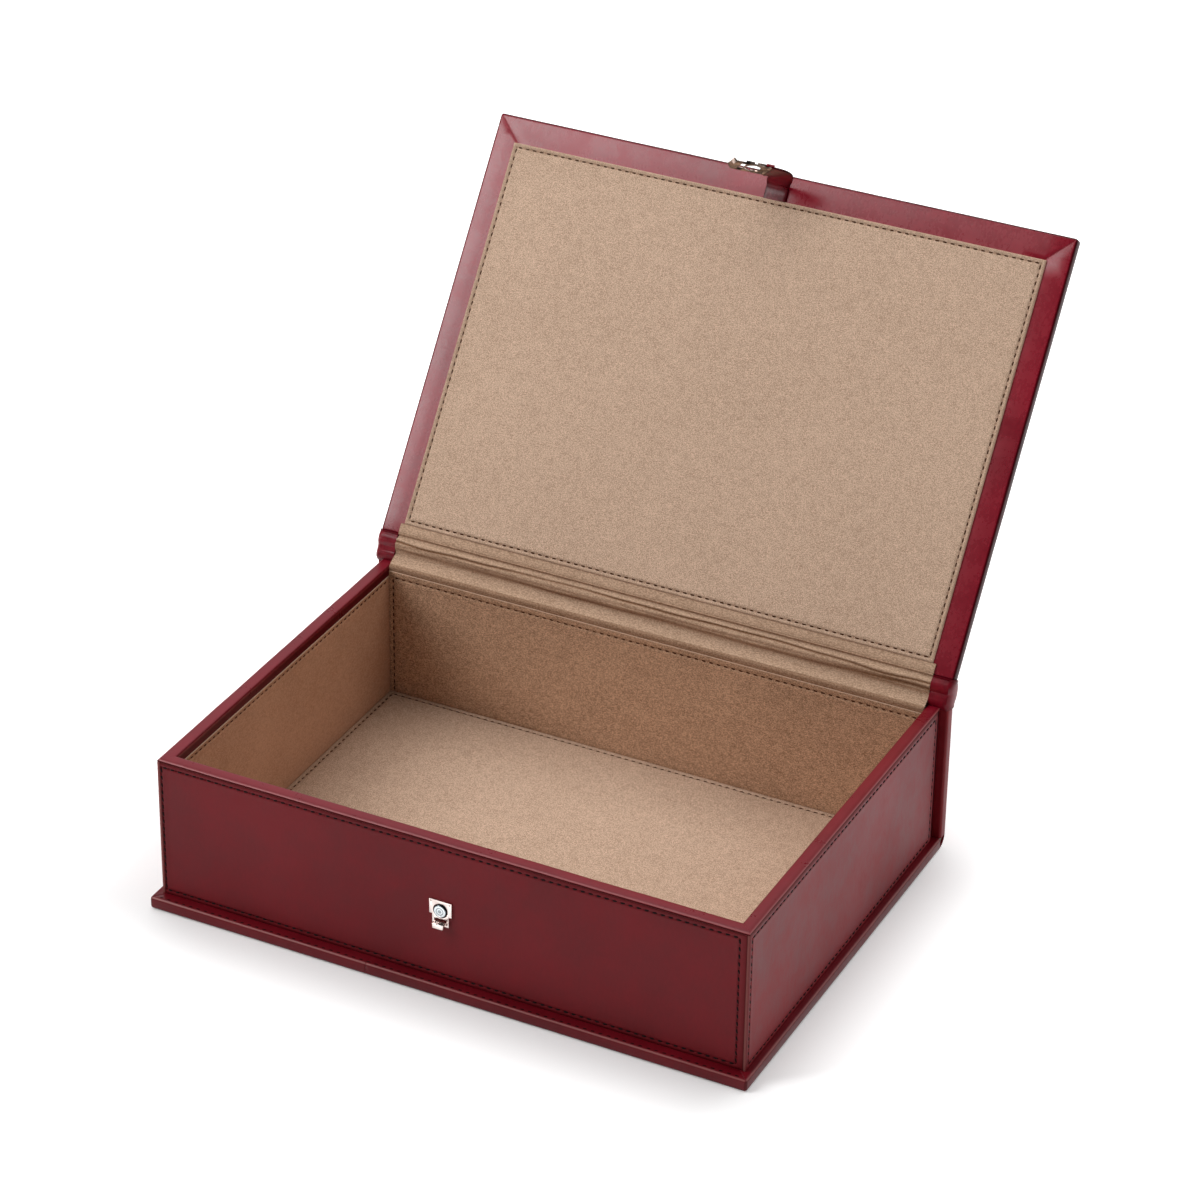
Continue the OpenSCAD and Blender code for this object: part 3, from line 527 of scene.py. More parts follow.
# The floor lining gets painted shade towards its ends, along the side walls
for side, place, finish, inset, seed, rest in (
        ("floor", WORLD, SUEDE, CORNER_INSET, 6, dict(end_shade=0.6)),
        ("front", REAR, SUEDE_WALLS_SHADED, CORNER_INSET, 7, dict(which=(0, 1, 1))),
        ("back", FRONT, SUEDE_BACK_SHADED, CORNER_INSET, 8, dict(which=(0, 1, 1), light=1.0)),
        ("left", RIGHT, SUEDE_WALLS_SHADED, SUEDE_INSET, 9, dict(which=(0, 1, 0))),
        ("right", LEFT, SUEDE_WALLS_SHADED, SUEDE_INSET, 10, dict(which=(0, 1, 0)))):
    lining_rows += stitched_sheet("lining_suede_" + side, "lining_" + side, place, finish, "suede",
                                  inset=inset, seed=seed, **nap, **rest)
stitch("stitches_linings", lining_rows, THREAD_TAN, "tray", "thread_linings", sink=0.02, lean=0, seed=6)
lid_rows = stitched_sheet("panel_suede_lid", "lid_panel", LID, SUEDE, "suede", body="lid",
                          inset=SUEDE_INSET, seed=11, **nap)
stitch("stitches_lid", lid_rows, THREAD_TAN, "lid", "thread_lid", sink=0.02, lean=0, seed=7)


# ------------------------------------------------------------------ covered boards
def cut(bm, where, normal, only=None):
    """Cuts the faces that pass the test along a plane, so that they can bend there."""
    faces = [f for f in bm.faces if only is None or only(f)]
    edges = {e for f in faces for e in f.edges}
    verts = {v for f in faces for v in f.verts}
    bmesh.ops.bisect_plane(bm, geom=faces + list(edges) + list(verts), plane_co=where,
                           plane_no=normal, dist=1e-4)


def ordered_mesh(bm, name):
    """What was cut, as a mesh whose points and faces lie in order of their places. Blender's cuts
    leave them in an order that changes from run to run."""
    bm.verts.index_update()
    verts = sorted(bm.verts, key=lambda v: [round(c, 6) for c in v.co])
    new = {v.index: k for k, v in enumerate(verts)}
    faces = []
    for face in bm.faces:
        ring = [new[v.index] for v in face.verts]
        # A quad turned by two corners still splits along the same diagonal
        turns = {3: (0, 1, 2), 4: (0, 2)}.get(len(ring), (0,))
        faces.append(min(ring[k:] + ring[:k] for k in turns))
    mesh = bpy.data.meshes.new(name)
    mesh.from_pydata([v.co[:] for v in verts], [], sorted(faces))
    return mesh


MITRE_REACH = 26.0              # from a corner, the room in which its mitre lies


def covered_board(name, lo, hi, place, finish, body, instead_of, mitred=(), seams=(), seed=1,
                  trim=None, line=0.0, dark=0.0):
    """Leather pulled round a board. mitred lists the (x, y) signs of the corners whose turned-in
    leather meets in a mitre on the upper face; seams lists places along the front edge of a lap.
    trim is a plane beyond which it is cut off, line how strong a painted highlight along its upper
    ridge is, and dark how much shade is painted on its sides and their edges."""
    bm = bmesh.new()
    bmesh.ops.create_cube(bm, size=1)
    size, middle = np.array(hi) - lo, (np.array(hi) + lo) / 2
    for v in bm.verts:
        v.co = Vector(middle + np.array(v.co) * size)
    bmesh.ops.bevel(bm, geom=bm.edges[:], offset=EDGE_ROUND, offset_type="OFFSET", segments=5,
                    profile=0.5, affect="EDGES", clamp_overlap=True)
    for axis in (0, 1, 2):
        for at in np.arange(lo[axis] + 9, hi[axis] - 4, 12.0):
            way = Vector([axis == k for k in range(3)])
            cut(bm, way * at, way)
    for sx, sy in mitred:
        tip = Vector((hi[0] if sx > 0 else lo[0], hi[1] if sy > 0 else lo[1], 0))
        across = Vector((sy, -sx, 0)).normalized()

        def at_corner(face, tip=tip):
            c = face.calc_center_median()
            return (abs(c.x - tip.x) < MITRE_REACH and abs(c.y - tip.y) < MITRE_REACH
                    and c.z > (lo[2] + hi[2]) / 2)
        for aside in (-0.45, -0.2, 0, 0.2, 0.45):
            cut(bm, tip + across * aside, across, at_corner)
        for v in bm.verts:
            reach = max(abs(v.co.x - tip.x), abs(v.co.y - tip.y))
            if v.co.z > hi[2] - 0.9 and reach < MITRE_REACH:
                v.co.z -= 0.3 * math.exp(-(((v.co - tip).dot(across)) / 0.22) ** 2)
    for at in seams:
        for aside in (-0.5, -0.2, 0, 0.2):
            cut(bm, (at + aside, 0, 0), (1, 0, 0), lambda f: f.calc_center_median().y < lo[1] + 8)
        for v in bm.verts:
            if v.co.y < lo[1] + 2 and abs(v.co.x - at) < 0.05:
                v.co.y += 0.22
                v.co.z -= 0.1 if v.co.z > hi[2] - 0.5 else 0
    for v in bm.verts:
        x, y, z = v.co
        away = Vector([1 if c > h - 0.1 else -1 if c < l + 0.1 else 0 for c, l, h in zip(v.co, lo, hi)])
        v.co += away * 0.05 * float(waves(x + z, y - z, 46, seed))
    if trim:
        geom = bm.verts[:] + bm.edges[:] + bm.faces[:]
        done = bmesh.ops.bisect_plane(bm, geom=geom, plane_co=trim[0], plane_no=trim[1], clear_outer=True)
        bmesh.ops.holes_fill(bm, edges=[e for e in done["geom_cut"] if isinstance(e, bmesh.types.BMEdge)])
    bmesh.ops.scale(bm, vec=(MM, MM, MM), verts=bm.verts)
    bmesh.ops.recalc_face_normals(bm, faces=bm.faces)
    mesh = ordered_mesh(bm, name)
    bm.free()
    co = np.array([v.co for v in mesh.vertices]) / MM
    inside = np.sort(np.minimum(co - lo, hi - co), axis=1)
    down = hi[2] - co[:, 2]
    # A painted highlight along the upper ridge, as strong as line says
    ridge = (np.exp(-((inside[:, 1] - 0.62) / 0.2) ** 2) * np.exp(-((inside[:, 0] - 0.29) / 0.2) ** 2)
             * (down < 0.75))
    # Painted shade: on the sides and their edges as much as dark says, and along the other edges of a board
    # that has a ridge highlight
    aside = np.minimum(co - lo, hi - co)[:, :2].min(1)
    worn_and_shaded = (dark * np.clip((1.15 - aside) / 0.6, 0, 1)
            + 0.3 * (inside[:, 1] < 1.2) * (line > 0) * (down > 0.75))
    mark(mesh, wear=worn_and_shaded, pale=line * ridge)
    mesh.materials.append(finish)
    mesh.transform(place)
    return finish_piece(name, mesh, body, instead_of, 50)


base_lo, base_hi = extent("base_cover")
# The base gets a painted highlight along its upper ridge and painted shade along its other edges
covered_board("base_leather", base_lo, base_hi + [0, 6, 0], WORLD, RED_BASE, "tray", ("base_cover",),
              mitred=((1, -1), (-1, -1)), seams=(-42.0,), seed=21, line=0.3,
              trim=((0, base_hi[1], 0), (0, 1, 0)))
lid_lo, lid_hi = extent("lid_cover", LID)
# The lid gets painted shade on its side faces and along its outer edges
covered_board("lid_leather", lid_lo, lid_hi, LID, RED_LID, "lid", ("lid_cover",),
              mitred=((1, 1), (-1, 1)), seed=22, dark=1.0)
spine_lo, spine_hi = extent("spine_cover")
covered_board("spine_leather", spine_lo - [0, 0, 6], spine_hi, WORLD, RED, "tray", ("spine_cover",),
              seed=23, trim=((0, 0, spine_lo[2]), (0, 0, -1)))

row_y = base_lo[1] + EDGE_ROUND + 0.45
row_lo, row_hi = extent("thread_base")
base_row = (np.array([0, 0, 0]), WORLD, base_hi[2] - 0.2, ((row_lo[0], row_y), (row_hi[0], row_y)))
stitch("stitches_base", [base_row], THREAD_DARK, "tray", "thread_base", wide=0.75, sink=0.1)


# ------------------------------------------------------------------ rims
def rim_outline(wide, lip, drop, thick):
    """The rim's section: width inwards from the outer face, height from its top."""
    r, f = 0.9, 0.3             # of the inner upper edge and of the small edges

    def arc(cx, cy, rad, a, b):
        return [(cx + rad * math.cos(math.radians(t)), cy + rad * math.sin(math.radians(t)))
                for t in np.linspace(a, b, 6)]
    points = [(0, -0.95), (0.05, -0.72), (0.2, -0.48), (0.46, -0.25), (0.85, -0.09), (1.35, -0.01)]
    points += [(wide * k / 5, 0.02) for k in (1.5, 2.2, 3, 3.8)] + arc(wide - r, -r, r, 90, 0)
    points += [(wide, -drop * 0.4), (wide, -drop * 0.7)] + arc(wide - f, -drop + f, f, 0, -90)
    points += [(wide - thick + 0.05, -drop + 0.1), (wide - thick, -drop * 0.5), (wide - thick, -lip)]
    points += [(wide * 0.5, -lip), (f, -lip)] + arc(f, -lip + f, f, -90, -180)[1:]
    return np.array(points)


rim_lo, rim_hi = extent("rim_front")
RIM_TOP, RIM_OUT, RIM_FRONT = rim_hi[2], rim_hi[0], rim_lo[1]
rim_wide = rim_hi[1] - rim_lo[1]
outline = rim_outline(rim_wide, 1.2, rim_hi[2] - rim_lo[2], 1.1)
inwards, height = outline[:, 0], outline[:, 1]
# Painted shade: down the outer face under its top edge, a faint band across the top, along the inner upper
# edge and over the inner skirt. Painted highlight: a pale line along the outer top edge.
rim_painted_shade = (0.85 * (inwards < 0.1) * (height < -0.5) + 0.3 * np.exp(-((inwards - 1.6) / 0.5) ** 2)
             + 0.6 * np.exp(-np.abs(height + 0.35) / 0.35) * (inwards > rim_wide - 0.8)
             + 0.7 * (height < -1) * (inwards > 1))
rim_painted_highlight = 0.3 * np.exp(-((inwards - 0.46) / 0.25) ** 2) * (height > -0.8)


def rim(name, node, length, mitred, place, seed):
    """One length of rim, mitred at its start, and at its end where mitred says so. Its section
    runs inwards along the place's Y."""
    stations = np.linspace(0, 1, 64)
    u, v = inwards, height
    rings = []
    for s in stations:
        first = u + 0.03
        last = length - (u if mitred else 0 * u) - 0.03
        x = first + (last - first) * s
        ease = min(1, s * 12, (1 - s) * 12)
        lift = 0.06 * waves(x, u * 3, 38, seed) * ease
        crown = 0.07 * np.sin(math.pi * np.clip(u / rim_wide, 0, 1)) * (v > -0.5)
        rings.append(np.stack([x, u + 0.05 * waves(x, v * 5, 55, seed + 1) * ease,
                               v + (lift + crown) * (v > -1)], -1))
    co, faces = loft(np.array(rings))
    add_piece(name, co, faces, RIM_RED, "tray", (node,), place,
              np.tile(rim_painted_shade, len(stations)), pale=np.tile(rim_painted_highlight, len(stations)))


side_length = extent("rim_right")[1][1] - RIM_FRONT
for side, length, mitred, onward, inward, at, seed in (
        ("front", 2 * RIM_OUT, True, (1, 0, 0), (0, 1, 0), -RIM_OUT, 31),
        ("right", side_length, False, (0, 1, 0), (-1, 0, 0), RIM_OUT, 33),
        ("left", side_length, False, (0, 1, 0), (1, 0, 0), -RIM_OUT, 35)):
    corner = (at * MM, RIM_FRONT * MM, RIM_TOP * MM)
    rim("rim_leather_" + side, "rim_" + side, length, mitred, basis(onward, inward, (0, 0, 1), corner), seed)


# ------------------------------------------------------------------ the joint between spine and lid
HALF = base_hi[0]
ROOM = extent("hinge_suede")[1][0]
end_low, end_high = (0, spine_hi[1] - 4, spine_hi[2] + 1), (0, *(lid_yz(-0.8, -2.5)))
JOINT = ("tray", "lid", end_low, end_high)
SKIN_ROWS = 44
END_BULGE = 1.25                # how far the skin's ends stand out where it rolls round them

# The outer leather and its turned-in ends are one skin that rolls round both ends of the joint
back_path = smooth_path([(spine_hi[1] - 0.05, 85.2), (122.9, 86.7), (125.4, 88.9), (126.75, 92.6),
                         (126.5, 95.4), lid_yz(-0.35, -6.85), lid_yz(1.5, -6.95)], SKIN_ROWS)
tab_path = smooth_path([(115.75, 85.9), (115.1, 87.2), (114.8, 88.4), (115.3, 90.1), (116.5, 92.6),
                        (117.0, 94.0), (116.9, 95.6), (117.2, 97.2), (118.2, 98.9),
                        lid_yz(-0.7, -0.5), lid_yz(0.5, 0.05)], SKIN_ROWS)
along = np.linspace(0, 1, SKIN_ROWS)
tab_in, side = ROOM + 0.3, HALF - 1.3


def rolled(end, before, after, inner):
    """The columns that turn round one end, from the path before to the path after."""
    turning = []
    for w in np.linspace(0, 1, 8)[1:-1]:
        ease = w * w * (3 - 2 * w)
        turning.append((end * (side + END_BULGE * math.sin(math.pi * w)),
                        before * (1 - ease) + after * ease, 1 - w if inner else w))
    return turning


cols = [(x, tab_path, 1) for x in np.linspace(tab_in, side, 12)]
cols += rolled(1, tab_path, back_path, True)
cols += [(x, back_path, 0) for x in np.linspace(side, -side, 56)]
cols += rolled(-1, back_path, tab_path, False)
cols += [(x, tab_path, 1) for x in np.linspace(-side, -tab_in, 12)]
skin = np.zeros((len(cols), SKIN_ROWS, 3))
for i, (x, path, inner) in enumerate(cols):
    skin[i, :, 0] = x
    skin[i, :, 1:] = path
    crease = np.sin(along * math.pi) * (0.16 * waves(x * 0.12, along * 30, 5.5, 41) * (0.5 + inner)
                                        + 0.1 * waves(x * 0.5, along * 20, 9, 42)
                                        + 0.1 * inner * waves(x * 0.08, along * 30, 1.7, 43))
    skin[i, :, 1] += crease * (1 - 2 * inner)
co, faces = thicken(skin, -1.1)
worn_and_shaded = np.array([[0.25 + 0.5 * abs(2 * v - 1) ** 3 for v in along] for _ in cols])
add_piece("joint_leather_skin", co, faces, HINGE_RED, instead_of=("hinge_leather", "hinge_tabs"),
          wear=np.concatenate([worn_and_shaded.ravel()] * 2), bends=JOINT)

# The suede strip: up the back wall, over its top, a sloping band, wrinkles, and on to the lid
STRIP_ROWS, STRIP_COLS = 72, 150
STRIP_END = ROOM + 0.2
# Its creases: place along it, width, depth, how far they fan out at the ends, and their waves' start
CREASES = ((0.55, 0.05, 1.2, 0.1, 1.0), (0.66, 0.02, 0.6, 0.02, 2.6), (0.79, 0.024, 2.2, -0.08, 4.4))
path = smooth_path([(108.75, 84.45), (108.7, 85.7), (108.8, 86.8), (109.6, 87.7), (112.2, 89.2),
                    (114.8, 90.7), (115.9, 91.7), (116.0, 92.8), (115.4, 94.4), (115.5, 96.2),
                    (116.2, 97.8), (117.3, 99.2), (118.6, 100.0), lid_yz(-0.55, -0.25),
                    lid_yz(0.05, 0.55), lid_yz(0.5, 1.0)], STRIP_ROWS)
s = np.linspace(0, 1, STRIP_ROWS)
xs = np.linspace(-STRIP_END, STRIP_END, STRIP_COLS)
grid = np.zeros((STRIP_COLS, STRIP_ROWS, 3))
rumple = np.exp(-((s - 0.66) / 0.15) ** 2)
darkening = np.zeros((STRIP_COLS, STRIP_ROWS))
for i, x in enumerate(xs):
    grid[i, :, 0] = x
    grid[i, :, 1:] = path
    near_end = math.exp(-((ROOM - abs(x)) / 34) ** 2)
    fold = 0.14 * waves(x * 0.4, s * 30, 14, 52) * np.sin(s * math.pi)
    fold = fold + (0.7 + near_end) * rumple * (0.3 * waves(x * 0.16, s * 44, 5.5, 51)
                                               + 0.2 * waves(x * 0.4, s * 30, 9, 53))
    for at, span, deep, fan, start in CREASES:
        centre = (at + (0.012 + 0.035 * near_end) * math.sin(x / 17 + start)
                  + (0.005 + 0.012 * near_end) * math.sin(x / 6.1 + 2 * start)
                  + fan * near_end)
        depth = deep * (0.62 + 0.38 * near_end * (x > 0) + 0.2 * math.sin(x / 29 + 3 * start))
        line = np.exp(-((s - centre) / span) ** 2)
        beside = np.exp(-((s - centre - 2.4 * span) / (1.6 * span)) ** 2)
        fold = fold - 0.55 * min(max(depth, 0.1), 1.3) * line + 0.3 * min(depth, 1.2) * beside
        # Each crease also paints shade along its line
        darkening[i] = np.maximum(darkening[i], min(1.0, 0.75 * max(depth, 0.1)) * line)
    grid[i, :, 1] -= fold * 0.8
    grid[i, :, 2] += fold * 0.35
co, faces = thicken(grid, 0.9)
# Painted shade: in the creases, over the rumpled band, along a line near the end on the lid, and over the
# part up the back wall
worn_and_shaded = np.clip(darkening + 0.6 * np.exp(-((s - 0.965) / 0.025) ** 2) + 0.15 * rumple + 0.6 * (s < 0.17),
               0, 1).ravel()
add_piece("joint_suede_strip", co, faces, SUEDE_JOINT, instead_of=("hinge_suede",),
          wear=np.concatenate([worn_and_shaded, worn_and_shaded]), bends=JOINT)

strip_lo, strip_hi = extent("hinge_strip", LID)
u = np.linspace(strip_lo[1] + 0.1, strip_hi[1], 14)
xs = np.linspace(-STRIP_END, STRIP_END, 80)
flat = np.zeros((len(xs), len(u), 3))
for i, x in enumerate(xs):
    flat[i, :, 0] = x
    flat[i, :, 1] = u
    flat[i, :, 2] = (0.95 + 0.06 * waves(x, u * 3, 30, 55) - 0.5 * np.exp(-(u - u[0]) / 0.5)
                     + 0.1 * np.exp(-((u - 3) / 1.5) ** 2))
co, faces = thicken(flat, 0.8)
# Painted shade at both ends, where it meets its neighbours
worn_and_shaded = np.tile(0.6 * np.exp(-(u - u[0]) / 0.5) + 0.5 * np.exp(-(u[-1] - u) / 0.4), len(xs))
add_piece("joint_suede_on_lid", co, faces, SUEDE_JOINT, "lid", ("hinge_strip",), LID,
          wear=np.concatenate([worn_and_shaded, worn_and_shaded]))


# ------------------------------------------------------------------ strap
lock_lo, lock_hi = extent("lock_plate")
LOCK_X = (lock_lo[0] + lock_hi[0]) / 2
root_lo, root_hi = extent("strap_root", LID)
panel_end = extent("lid_panel", LID)[1][1]
crease_up = root_hi[1]          # where the strap leaves the lid


def strap_section(wide, thick):
    """The strap's cross-section: slightly crowned, with rounded edges."""
    crown = 0.08
    half, r = wide / 2, thick * 0.42
    corners = [(half - r, thick / 2 - r, 0), (-half + r, thick / 2 - r, 90),
               (-half + r, -thick / 2 + r, 180), (half - r, -thick / 2 + r, 270)]
    points = []
    for cx, cy, start in corners:
        for t in (0, 30, 60, 90):
            a = math.radians(start + t)
            points.append((cx + r * math.cos(a), cy + r * math.sin(a)))
    out = []
    for (ax, ay), (bx, by) in zip(points, points[1:] + points[:1]):
        steps = 8 if abs(ax - bx) > 3 else 1
        for k in range(steps):
            x, y = ax + (bx - ax) * k / steps, ay + (by - ay) * k / steps
            out.append((x, y + math.copysign(crown, y) * (1 - (x / half) ** 2)))
    return np.array(out)


section = strap_section(STRAP_WIDE, STRAP_THICK)
section_wear = 0.85 * np.clip((np.abs(section[:, 0]) - STRAP_WIDE / 2 + 1.1) / 1.0, 0, 1)


def strap_loft(name, centres, wides, instead_of, bends=None):
    """A length of strap along centres, with its width towards wides."""
    ways = np.gradient(centres, axis=0)
    ways /= np.linalg.norm(ways, axis=1, keepdims=True)
    rings = []
    for c, w, a in zip(centres, wides, ways):
        w = w - a * np.dot(a, w)
        w /= np.linalg.norm(w)
        t = np.cross(a, w)
        rings.append(c + section[:, :1] * w + section[:, 1:] * t)
    co, faces = loft(np.array(rings))
    add_piece(name, co, faces, STRAP_RED, "lid", instead_of, LID,
              np.tile(section_wear, len(rings)), bends=bends)


def on_lid(p):
    return np.array(LID @ Vector(np.array(p) * MM)) / MM


ACROSS = np.array([1.0, 0, 0])
lift = STRAP_THICK / 2 + 0.05
STRAP_X = (root_lo[0] + root_hi[0]) / 2
root = smooth_path([(STRAP_X, panel_end - 0.2, lift), (STRAP_X, panel_end + 3, lift + 0.1),
                    (STRAP_X, crease_up - 1.6, lift)], 10)
strap_loft("strap_root_leather", root, [ACROSS] * len(root), ("strap_root",))

# The free strap: its line, and how it turns, are those of its solid. The hasp's end of it is given
# for the closed box, and swings to where it hangs on the open lid.
SWING_AXIS = Vector((0, 0.944, -0.329)).normalized()
HASP_UP, HASP_OFF = 231.75, 32.0
LOW_HANDLE, HIGH_HANDLE = [0.4, 2.2, 7], 13     # of the curve between the lid and the hasp
hasp_flex = joints["hasp_flex"]
swing_point = LID.inverted() @ Vector(hasp_flex["pos_m"]) / MM
swing = Matrix.Rotation(-math.radians(hasp_flex["range_deg"][1]), 3, SWING_AXIS)
top_point = np.array(swing_point + swing @ (Vector((LOCK_X, HASP_UP, HASP_OFF)) - swing_point))
top_wide, run = np.array(swing @ Vector((1, 0, 0))), np.array(swing @ Vector((0, 0, 1)))
foot = np.array([STRAP_X, crease_up + 1.75, STRAP_THICK / 2])
handle_low, handle_high = foot + LOW_HANDLE, top_point - HIGH_HANDLE * run
t = np.linspace(0.1, 1, 34)[:, None]
line = (foot * (1 - t) ** 3 + 3 * handle_low * t * (1 - t) ** 2 + 3 * handle_high * t * t * (1 - t)
        + top_point * t ** 3)
turning = t[:, 0] * (1 - (1 - t[:, 0]) ** 4)
turned = [(ACROSS * (1 - k) + top_wide * k) for k in turning]
strap_loft("strap_leather", line, turned, ("strap",),
           bends=("strap", "hasp", on_lid(line[4]), on_lid(line[-2])))
fold = smooth_path([root[-1], (STRAP_X, crease_up - 0.4, lift + 0.05),
                    (STRAP_X, crease_up + 1.2, lift + 0.6), line[0]], 14)
strap_loft("strap_fold", fold, [ACROSS * (1 - k) + turned[0] * k for k in np.linspace(0, 1, 14)], (),
           bends=("lid", "strap", on_lid(fold[0]), on_lid(fold[-1])))


# ------------------------------------------------------------------ metal
def softened(name, node, finish, body, wide):
    """A CAD node's own shape with its edges taken off by wide."""
    bm = bmesh.new()
    bm.from_mesh(frame["nodes"][node].data)
    bmesh.ops.remove_doubles(bm, verts=bm.verts, dist=2e-6)
    bmesh.ops.dissolve_limit(bm, angle_limit=math.radians(2), verts=bm.verts, edges=bm.edges)
    mesh = bpy.data.meshes.new(name)
    bm.to_mesh(mesh)
    bm.free()
    for old in list(mesh.attributes):
        if old.name.startswith("custom_normal"):
            mesh.attributes.remove(old)
    mesh.materials.clear()
    mesh.materials.append(finish)
    made = bpy.data.objects.new(name + "_making", mesh)
    bpy.context.scene.collection.objects.link(made)
    bevel = made.modifiers.new("edges", "BEVEL")
    bevel.width = wide * MM
    bevel.segments = 2
    bevel.limit_method = "ANGLE"
    bevel.angle_limit = math.radians(38)
    done = bpy.data.meshes.new_from_object(made.evaluated_get(bpy.context.evaluated_depsgraph_get()))
    bpy.data.objects.remove(made)
    done.name = name
    finish_piece(name, done, body, (node,), 35)


def ringed_nickel(name, centre, radius):
    """Grey plate turned with rings about the line through centre along Y. Its pale and dark bands paint
    reflections on the turned face, and its near-black outer edge paints the shadow in the gap round the
    button.
    """
    f = Finish(name)
    moved = f.node("ShaderNodeVectorMath", operation="MULTIPLY_ADD")
    f.link(f.space, moved.inputs[0])
    moved.inputs[1].default_value = (1, 0, 1)
    moved.inputs[2].default_value = (-centre[0] * MM, 0, -centre[1] * MM)
    length = f.node("ShaderNodeVectorMath", operation="LENGTH")
    f.link(moved.outputs[0], length.inputs[0])
    part = f.sum((length.outputs["Value"], 1 / (radius * MM)))
    grey, dark, pale = srgb(176, 186, 192), srgb(84, 90, 94), srgb(226, 230, 232)
    # Painted reflections in the rings, and painted shadow in the near-black band at the edge
    rings = f.ramp(part, (0, pale), (0.12, dark), (0.24, grey), (0.42, pale), (0.5, dark), (0.58, grey),
                   (0.74, pale), (0.86, grey), (0.93, dark), (1.0, srgb(30, 24, 24)))
    wiped = f.noise(0.5, 4, 0.6)
    f.set(Base_Color=rings, Metallic=1.0, Roughness=f.ramp(wiped, (0.3, 0.2), (0.7, 0.34)),
          Normal=f.bump(rings, 0.5, 0.05))
    return f.material


button_lo, button_hi = extent("lock_button")
button_mid = (button_lo + button_hi) / 2
BUTTON = ringed_nickel("nickel_turned", (button_mid[0], button_mid[2]), (button_hi[0] - button_lo[0]) / 2)
softened("lock_plate_nickel", "lock_plate", NICKEL, "tray", 0.14)
softened("lock_button_nickel", "lock_button", BUTTON, "button", 0.18)
softened("lock_catch_nickel", "lock_catch", NICKEL, "catch", 0.12)
softened("hasp_nickel", "hasp_plate", HASP_PAINTED_REFLECTIONS, "hasp", 0.12)
softened("hasp_rivet_heads", "hasp_rivets", NICKEL, "hasp", 0.08)
softened("hasp_leather_tab", "hasp_backing", HINGE_RED, "hasp", 0.2)
softened("lock_rivet_heads", "lock_rivets", NICKEL, "tray", 0.05)

# The joint's leather at the corner of base and spine, with its ends rounded as the boards' are
foot_lo, foot_hi = extent("joint_leather")
radius = foot_hi[1] - foot_lo[1]
rings = []
ends = [0.0, 0.12, 0.4, 0.8, EDGE_ROUND]
middle = list(np.linspace(-HALF + 8, HALF - 8, 24))
for x in [-HALF + e for e in ends] + middle + [HALF - e for e in ends[::-1]]:
    short = min(EDGE_ROUND, HALF - abs(x))
    inset = EDGE_ROUND - math.sqrt(EDGE_ROUND ** 2 - (EDGE_ROUND - short) ** 2)
    turn = np.radians(np.linspace(-90, 0, 11))
    outer, inner = radius - inset - 0.02, radius - 1.7
    rings.append([(x, foot_lo[1] + r * math.cos(a), foot_lo[2] + radius + r * math.sin(a))
                  for r, angles in ((outer, turn), (inner, turn[::-1])) for a in angles])
co, faces = loft(np.array(rings))
add_piece("joint_leather_foot", co, faces, RED, instead_of=("joint_leather",))

# The CAD nodes that stay
for finish, nodes in ((BOARD, ("base_board", "spine_board", "lid_board", "wall_back")),
                      (WALLS_SHADED_RED, ("wall_front", "wall_left", "wall_right")),
                      (NICKEL, ("lock_case", "catch_spring"))):
    for node in nodes:
        materials = frame["nodes"][node].data.materials
        materials.clear()
        materials.append(finish)


# ------------------------------------------------------------------ floor, light and camera
def wired(tree, kind, *sources, **values):
    """A node whose first inputs come from the sources: other nodes' sockets, or plain values."""
    made = tree.nodes.new("ShaderNode" + kind)
    for key, value in values.items():
        setattr(made, key, value)
    for source, socket in zip(sources, made.inputs):
        if hasattr(source, "node"):
            tree.links.new(source, socket)
        else:
            socket.default_value = source
    return made


def either(tree, shown, *kinds):
    """The brighter of a value and 1 for rays of these kinds."""
    path = tree.nodes.new("ShaderNodeLightPath")
    for kind in kinds:
        shown = wired(tree, "Math", shown, path.outputs[kind], operation="MAXIMUM").outputs[0]
    return shown


def fade(tree, value, start, end, first, last):
    """Goes smoothly from first to last as the value goes from start to end."""
    return wired(tree, "MapRange", value, start, end, first, last,
                 interpolation_type="SMOOTHSTEP").outputs[0]


# The floor glows for the camera and for reflections, and more far from the box. Close round the box it
# glows less: that lets the box's shadow show there, and paints a grey halo of shade round the box.
SHADOW_MIDDLE, SHADOW_HALF = (-0.022, -0.02, 0), (0.168, 0.1, 9)
NEAR_GLOW, FAR_GLOW = (0.0, 0.08, 0.13, 0.66), (0.9, 2.5, 0, 0.4)   # metres away, then strength


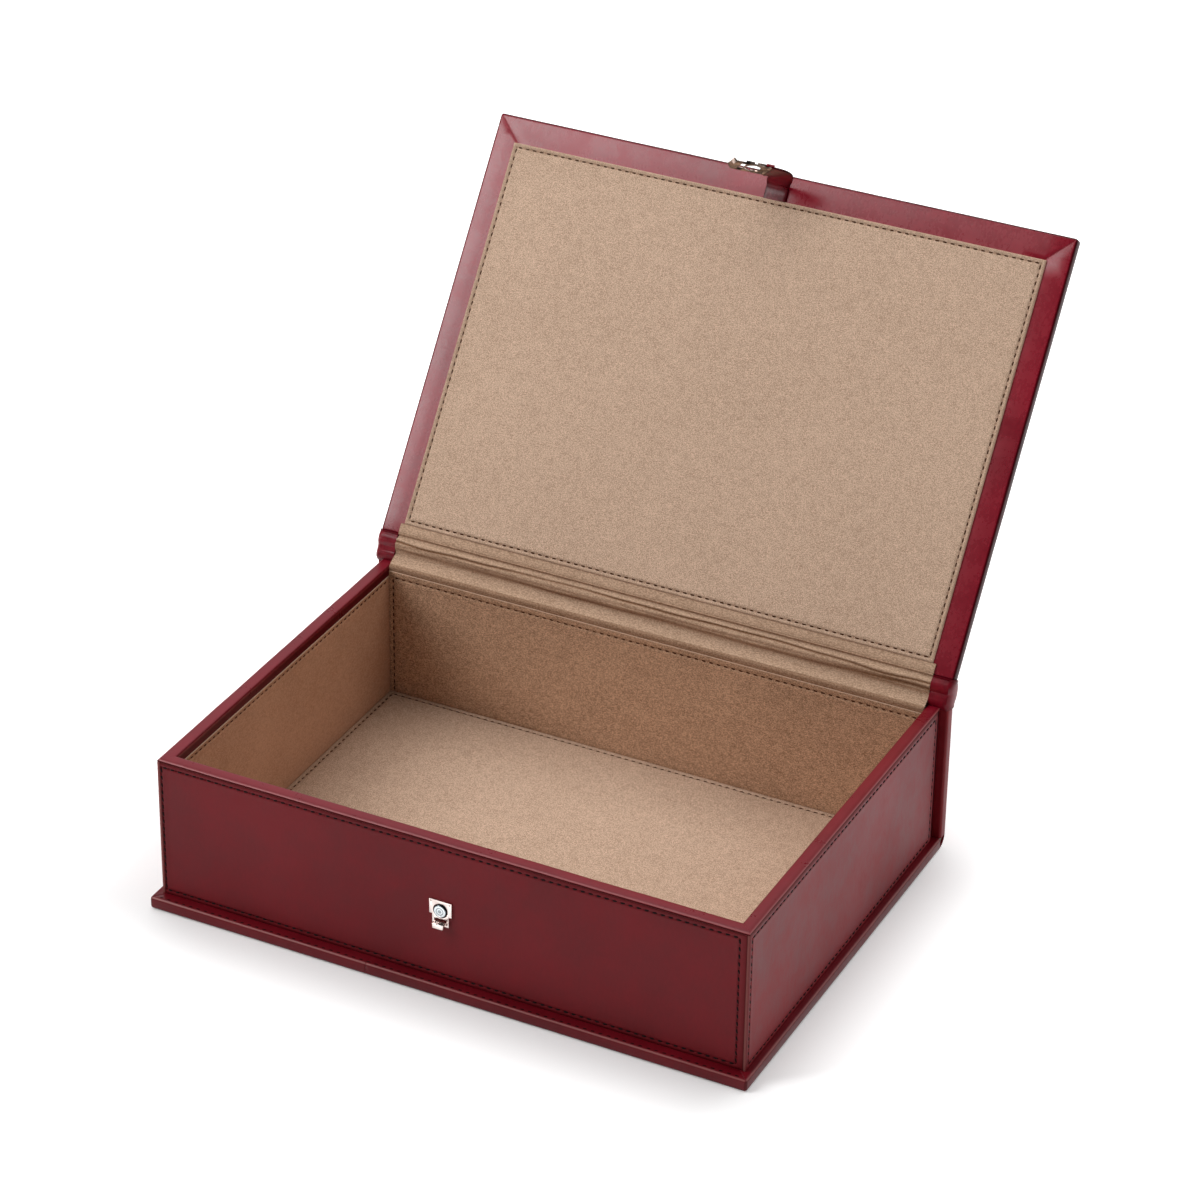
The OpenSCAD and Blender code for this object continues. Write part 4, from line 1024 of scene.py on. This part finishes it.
def stage_floor():
    bm = bmesh.new()
    bmesh.ops.create_grid(bm, x_segments=8, y_segments=8, size=6)
    mesh = bpy.data.meshes.new("floor")
    bm.to_mesh(mesh)
    bm.free()
    floor = bpy.data.objects.new("floor", mesh)
    floor.location.z = -0.0002
    bpy.context.scene.collection.objects.link(floor)
    f = Finish("floor_paper")
    pale = f.ramp(f.noise(400, 2, 0.5), (0.3, (0.86, 0.86, 0.86, 1)), (0.7, (0.88, 0.88, 0.88, 1)))
    f.set(Base_Color=pale, Roughness=0.9, Specular_IOR_Level=0.1)
    shown = either(f.tree, 0.0, "Is Camera Ray", "Is Glossy Ray", "Is Transmission Ray")
    away = wired(f.tree, "VectorMath", f.space, SHADOW_MIDDLE, operation="SUBTRACT")
    away = wired(f.tree, "VectorMath", away.outputs[0], operation="ABSOLUTE")
    away = wired(f.tree, "VectorMath", away.outputs[0], SHADOW_HALF, operation="SUBTRACT")
    away = wired(f.tree, "VectorMath", away.outputs[0], operation="MAXIMUM")
    away = wired(f.tree, "VectorMath", away.outputs[0], operation="LENGTH").outputs["Value"]
    light = f.sum(*((fade(f.tree, away, *glow), 1.0) for glow in (NEAR_GLOW, FAR_GLOW)))
    glow = wired(f.tree, "Math", shown, light, operation="MULTIPLY")
    f.set(Emission_Color=(1, 1, 1, 1), Emission_Strength=glow.outputs[0])
    mesh.materials.append(f.material)


def lamp(name, place, aim, wide, high, power):
    data = bpy.data.lights.new(name, "AREA")
    data.shape = "RECTANGLE"
    data.size, data.size_y, data.energy = wide, high, power
    obj = bpy.data.objects.new(name, data)
    obj.location = place
    obj.rotation_euler = (Vector(aim) - Vector(place)).to_track_quat("-Z", "Y").to_euler()
    bpy.context.scene.collection.objects.link(obj)


stage_floor()
lamp("overhead", (-0.15, 0.55, 2.1), (0, 0, 0.05), 2.2, 1.8, 27)
lamp("left_front", (-1.38, -1.04, 1.56), (0, 0.1, 0.15), 0.86, 1.5, 29.5)
lamp("right", (1.9, 0.4, 1.1), (0, 0, 0.1), 1.0, 1.4, 3)

# A dim room, with a pale backdrop behind the table, and white where the camera sees it
ROOM_LIGHT, BACKDROP_LIGHT = 0.16, 0.62
world = bpy.data.worlds.new("studio")
bpy.context.scene.world = world
world.use_nodes = True
tree = world.node_tree
way = wired(tree, "SeparateXYZ", tree.nodes.new("ShaderNodeTexCoord").outputs["Generated"])
backdrop = wired(tree, "Math", fade(tree, way.outputs["Y"], -0.2, 0.6, 0, BACKDROP_LIGHT),
                 fade(tree, way.outputs["Z"], 0.5, 0.8, 1, 0.1), operation="MULTIPLY")
lit = wired(tree, "Math", backdrop.outputs[0], ROOM_LIGHT)
background = tree.nodes["Background"].inputs
tree.links.new(either(tree, lit.outputs[0], "Is Camera Ray", "Is Transmission Ray"), background["Strength"])
background["Color"].default_value = (1, 1, 1, 1)

# The camera, fitted to the straight edges of the box in the photograph
eye = bpy.data.cameras.new("camera")
eye.lens, eye.sensor_width = 128.62, 36
camera = bpy.data.objects.new("camera", eye)
camera.location = (0.84064, -1.64157, 1.24137)
camera.rotation_euler = [math.radians(a) for a in (59.733, -0.717, 26.843)]
bpy.context.scene.collection.objects.link(camera)
bpy.context.scene.camera = camera
bpy.context.scene.view_settings.view_transform = "Standard"
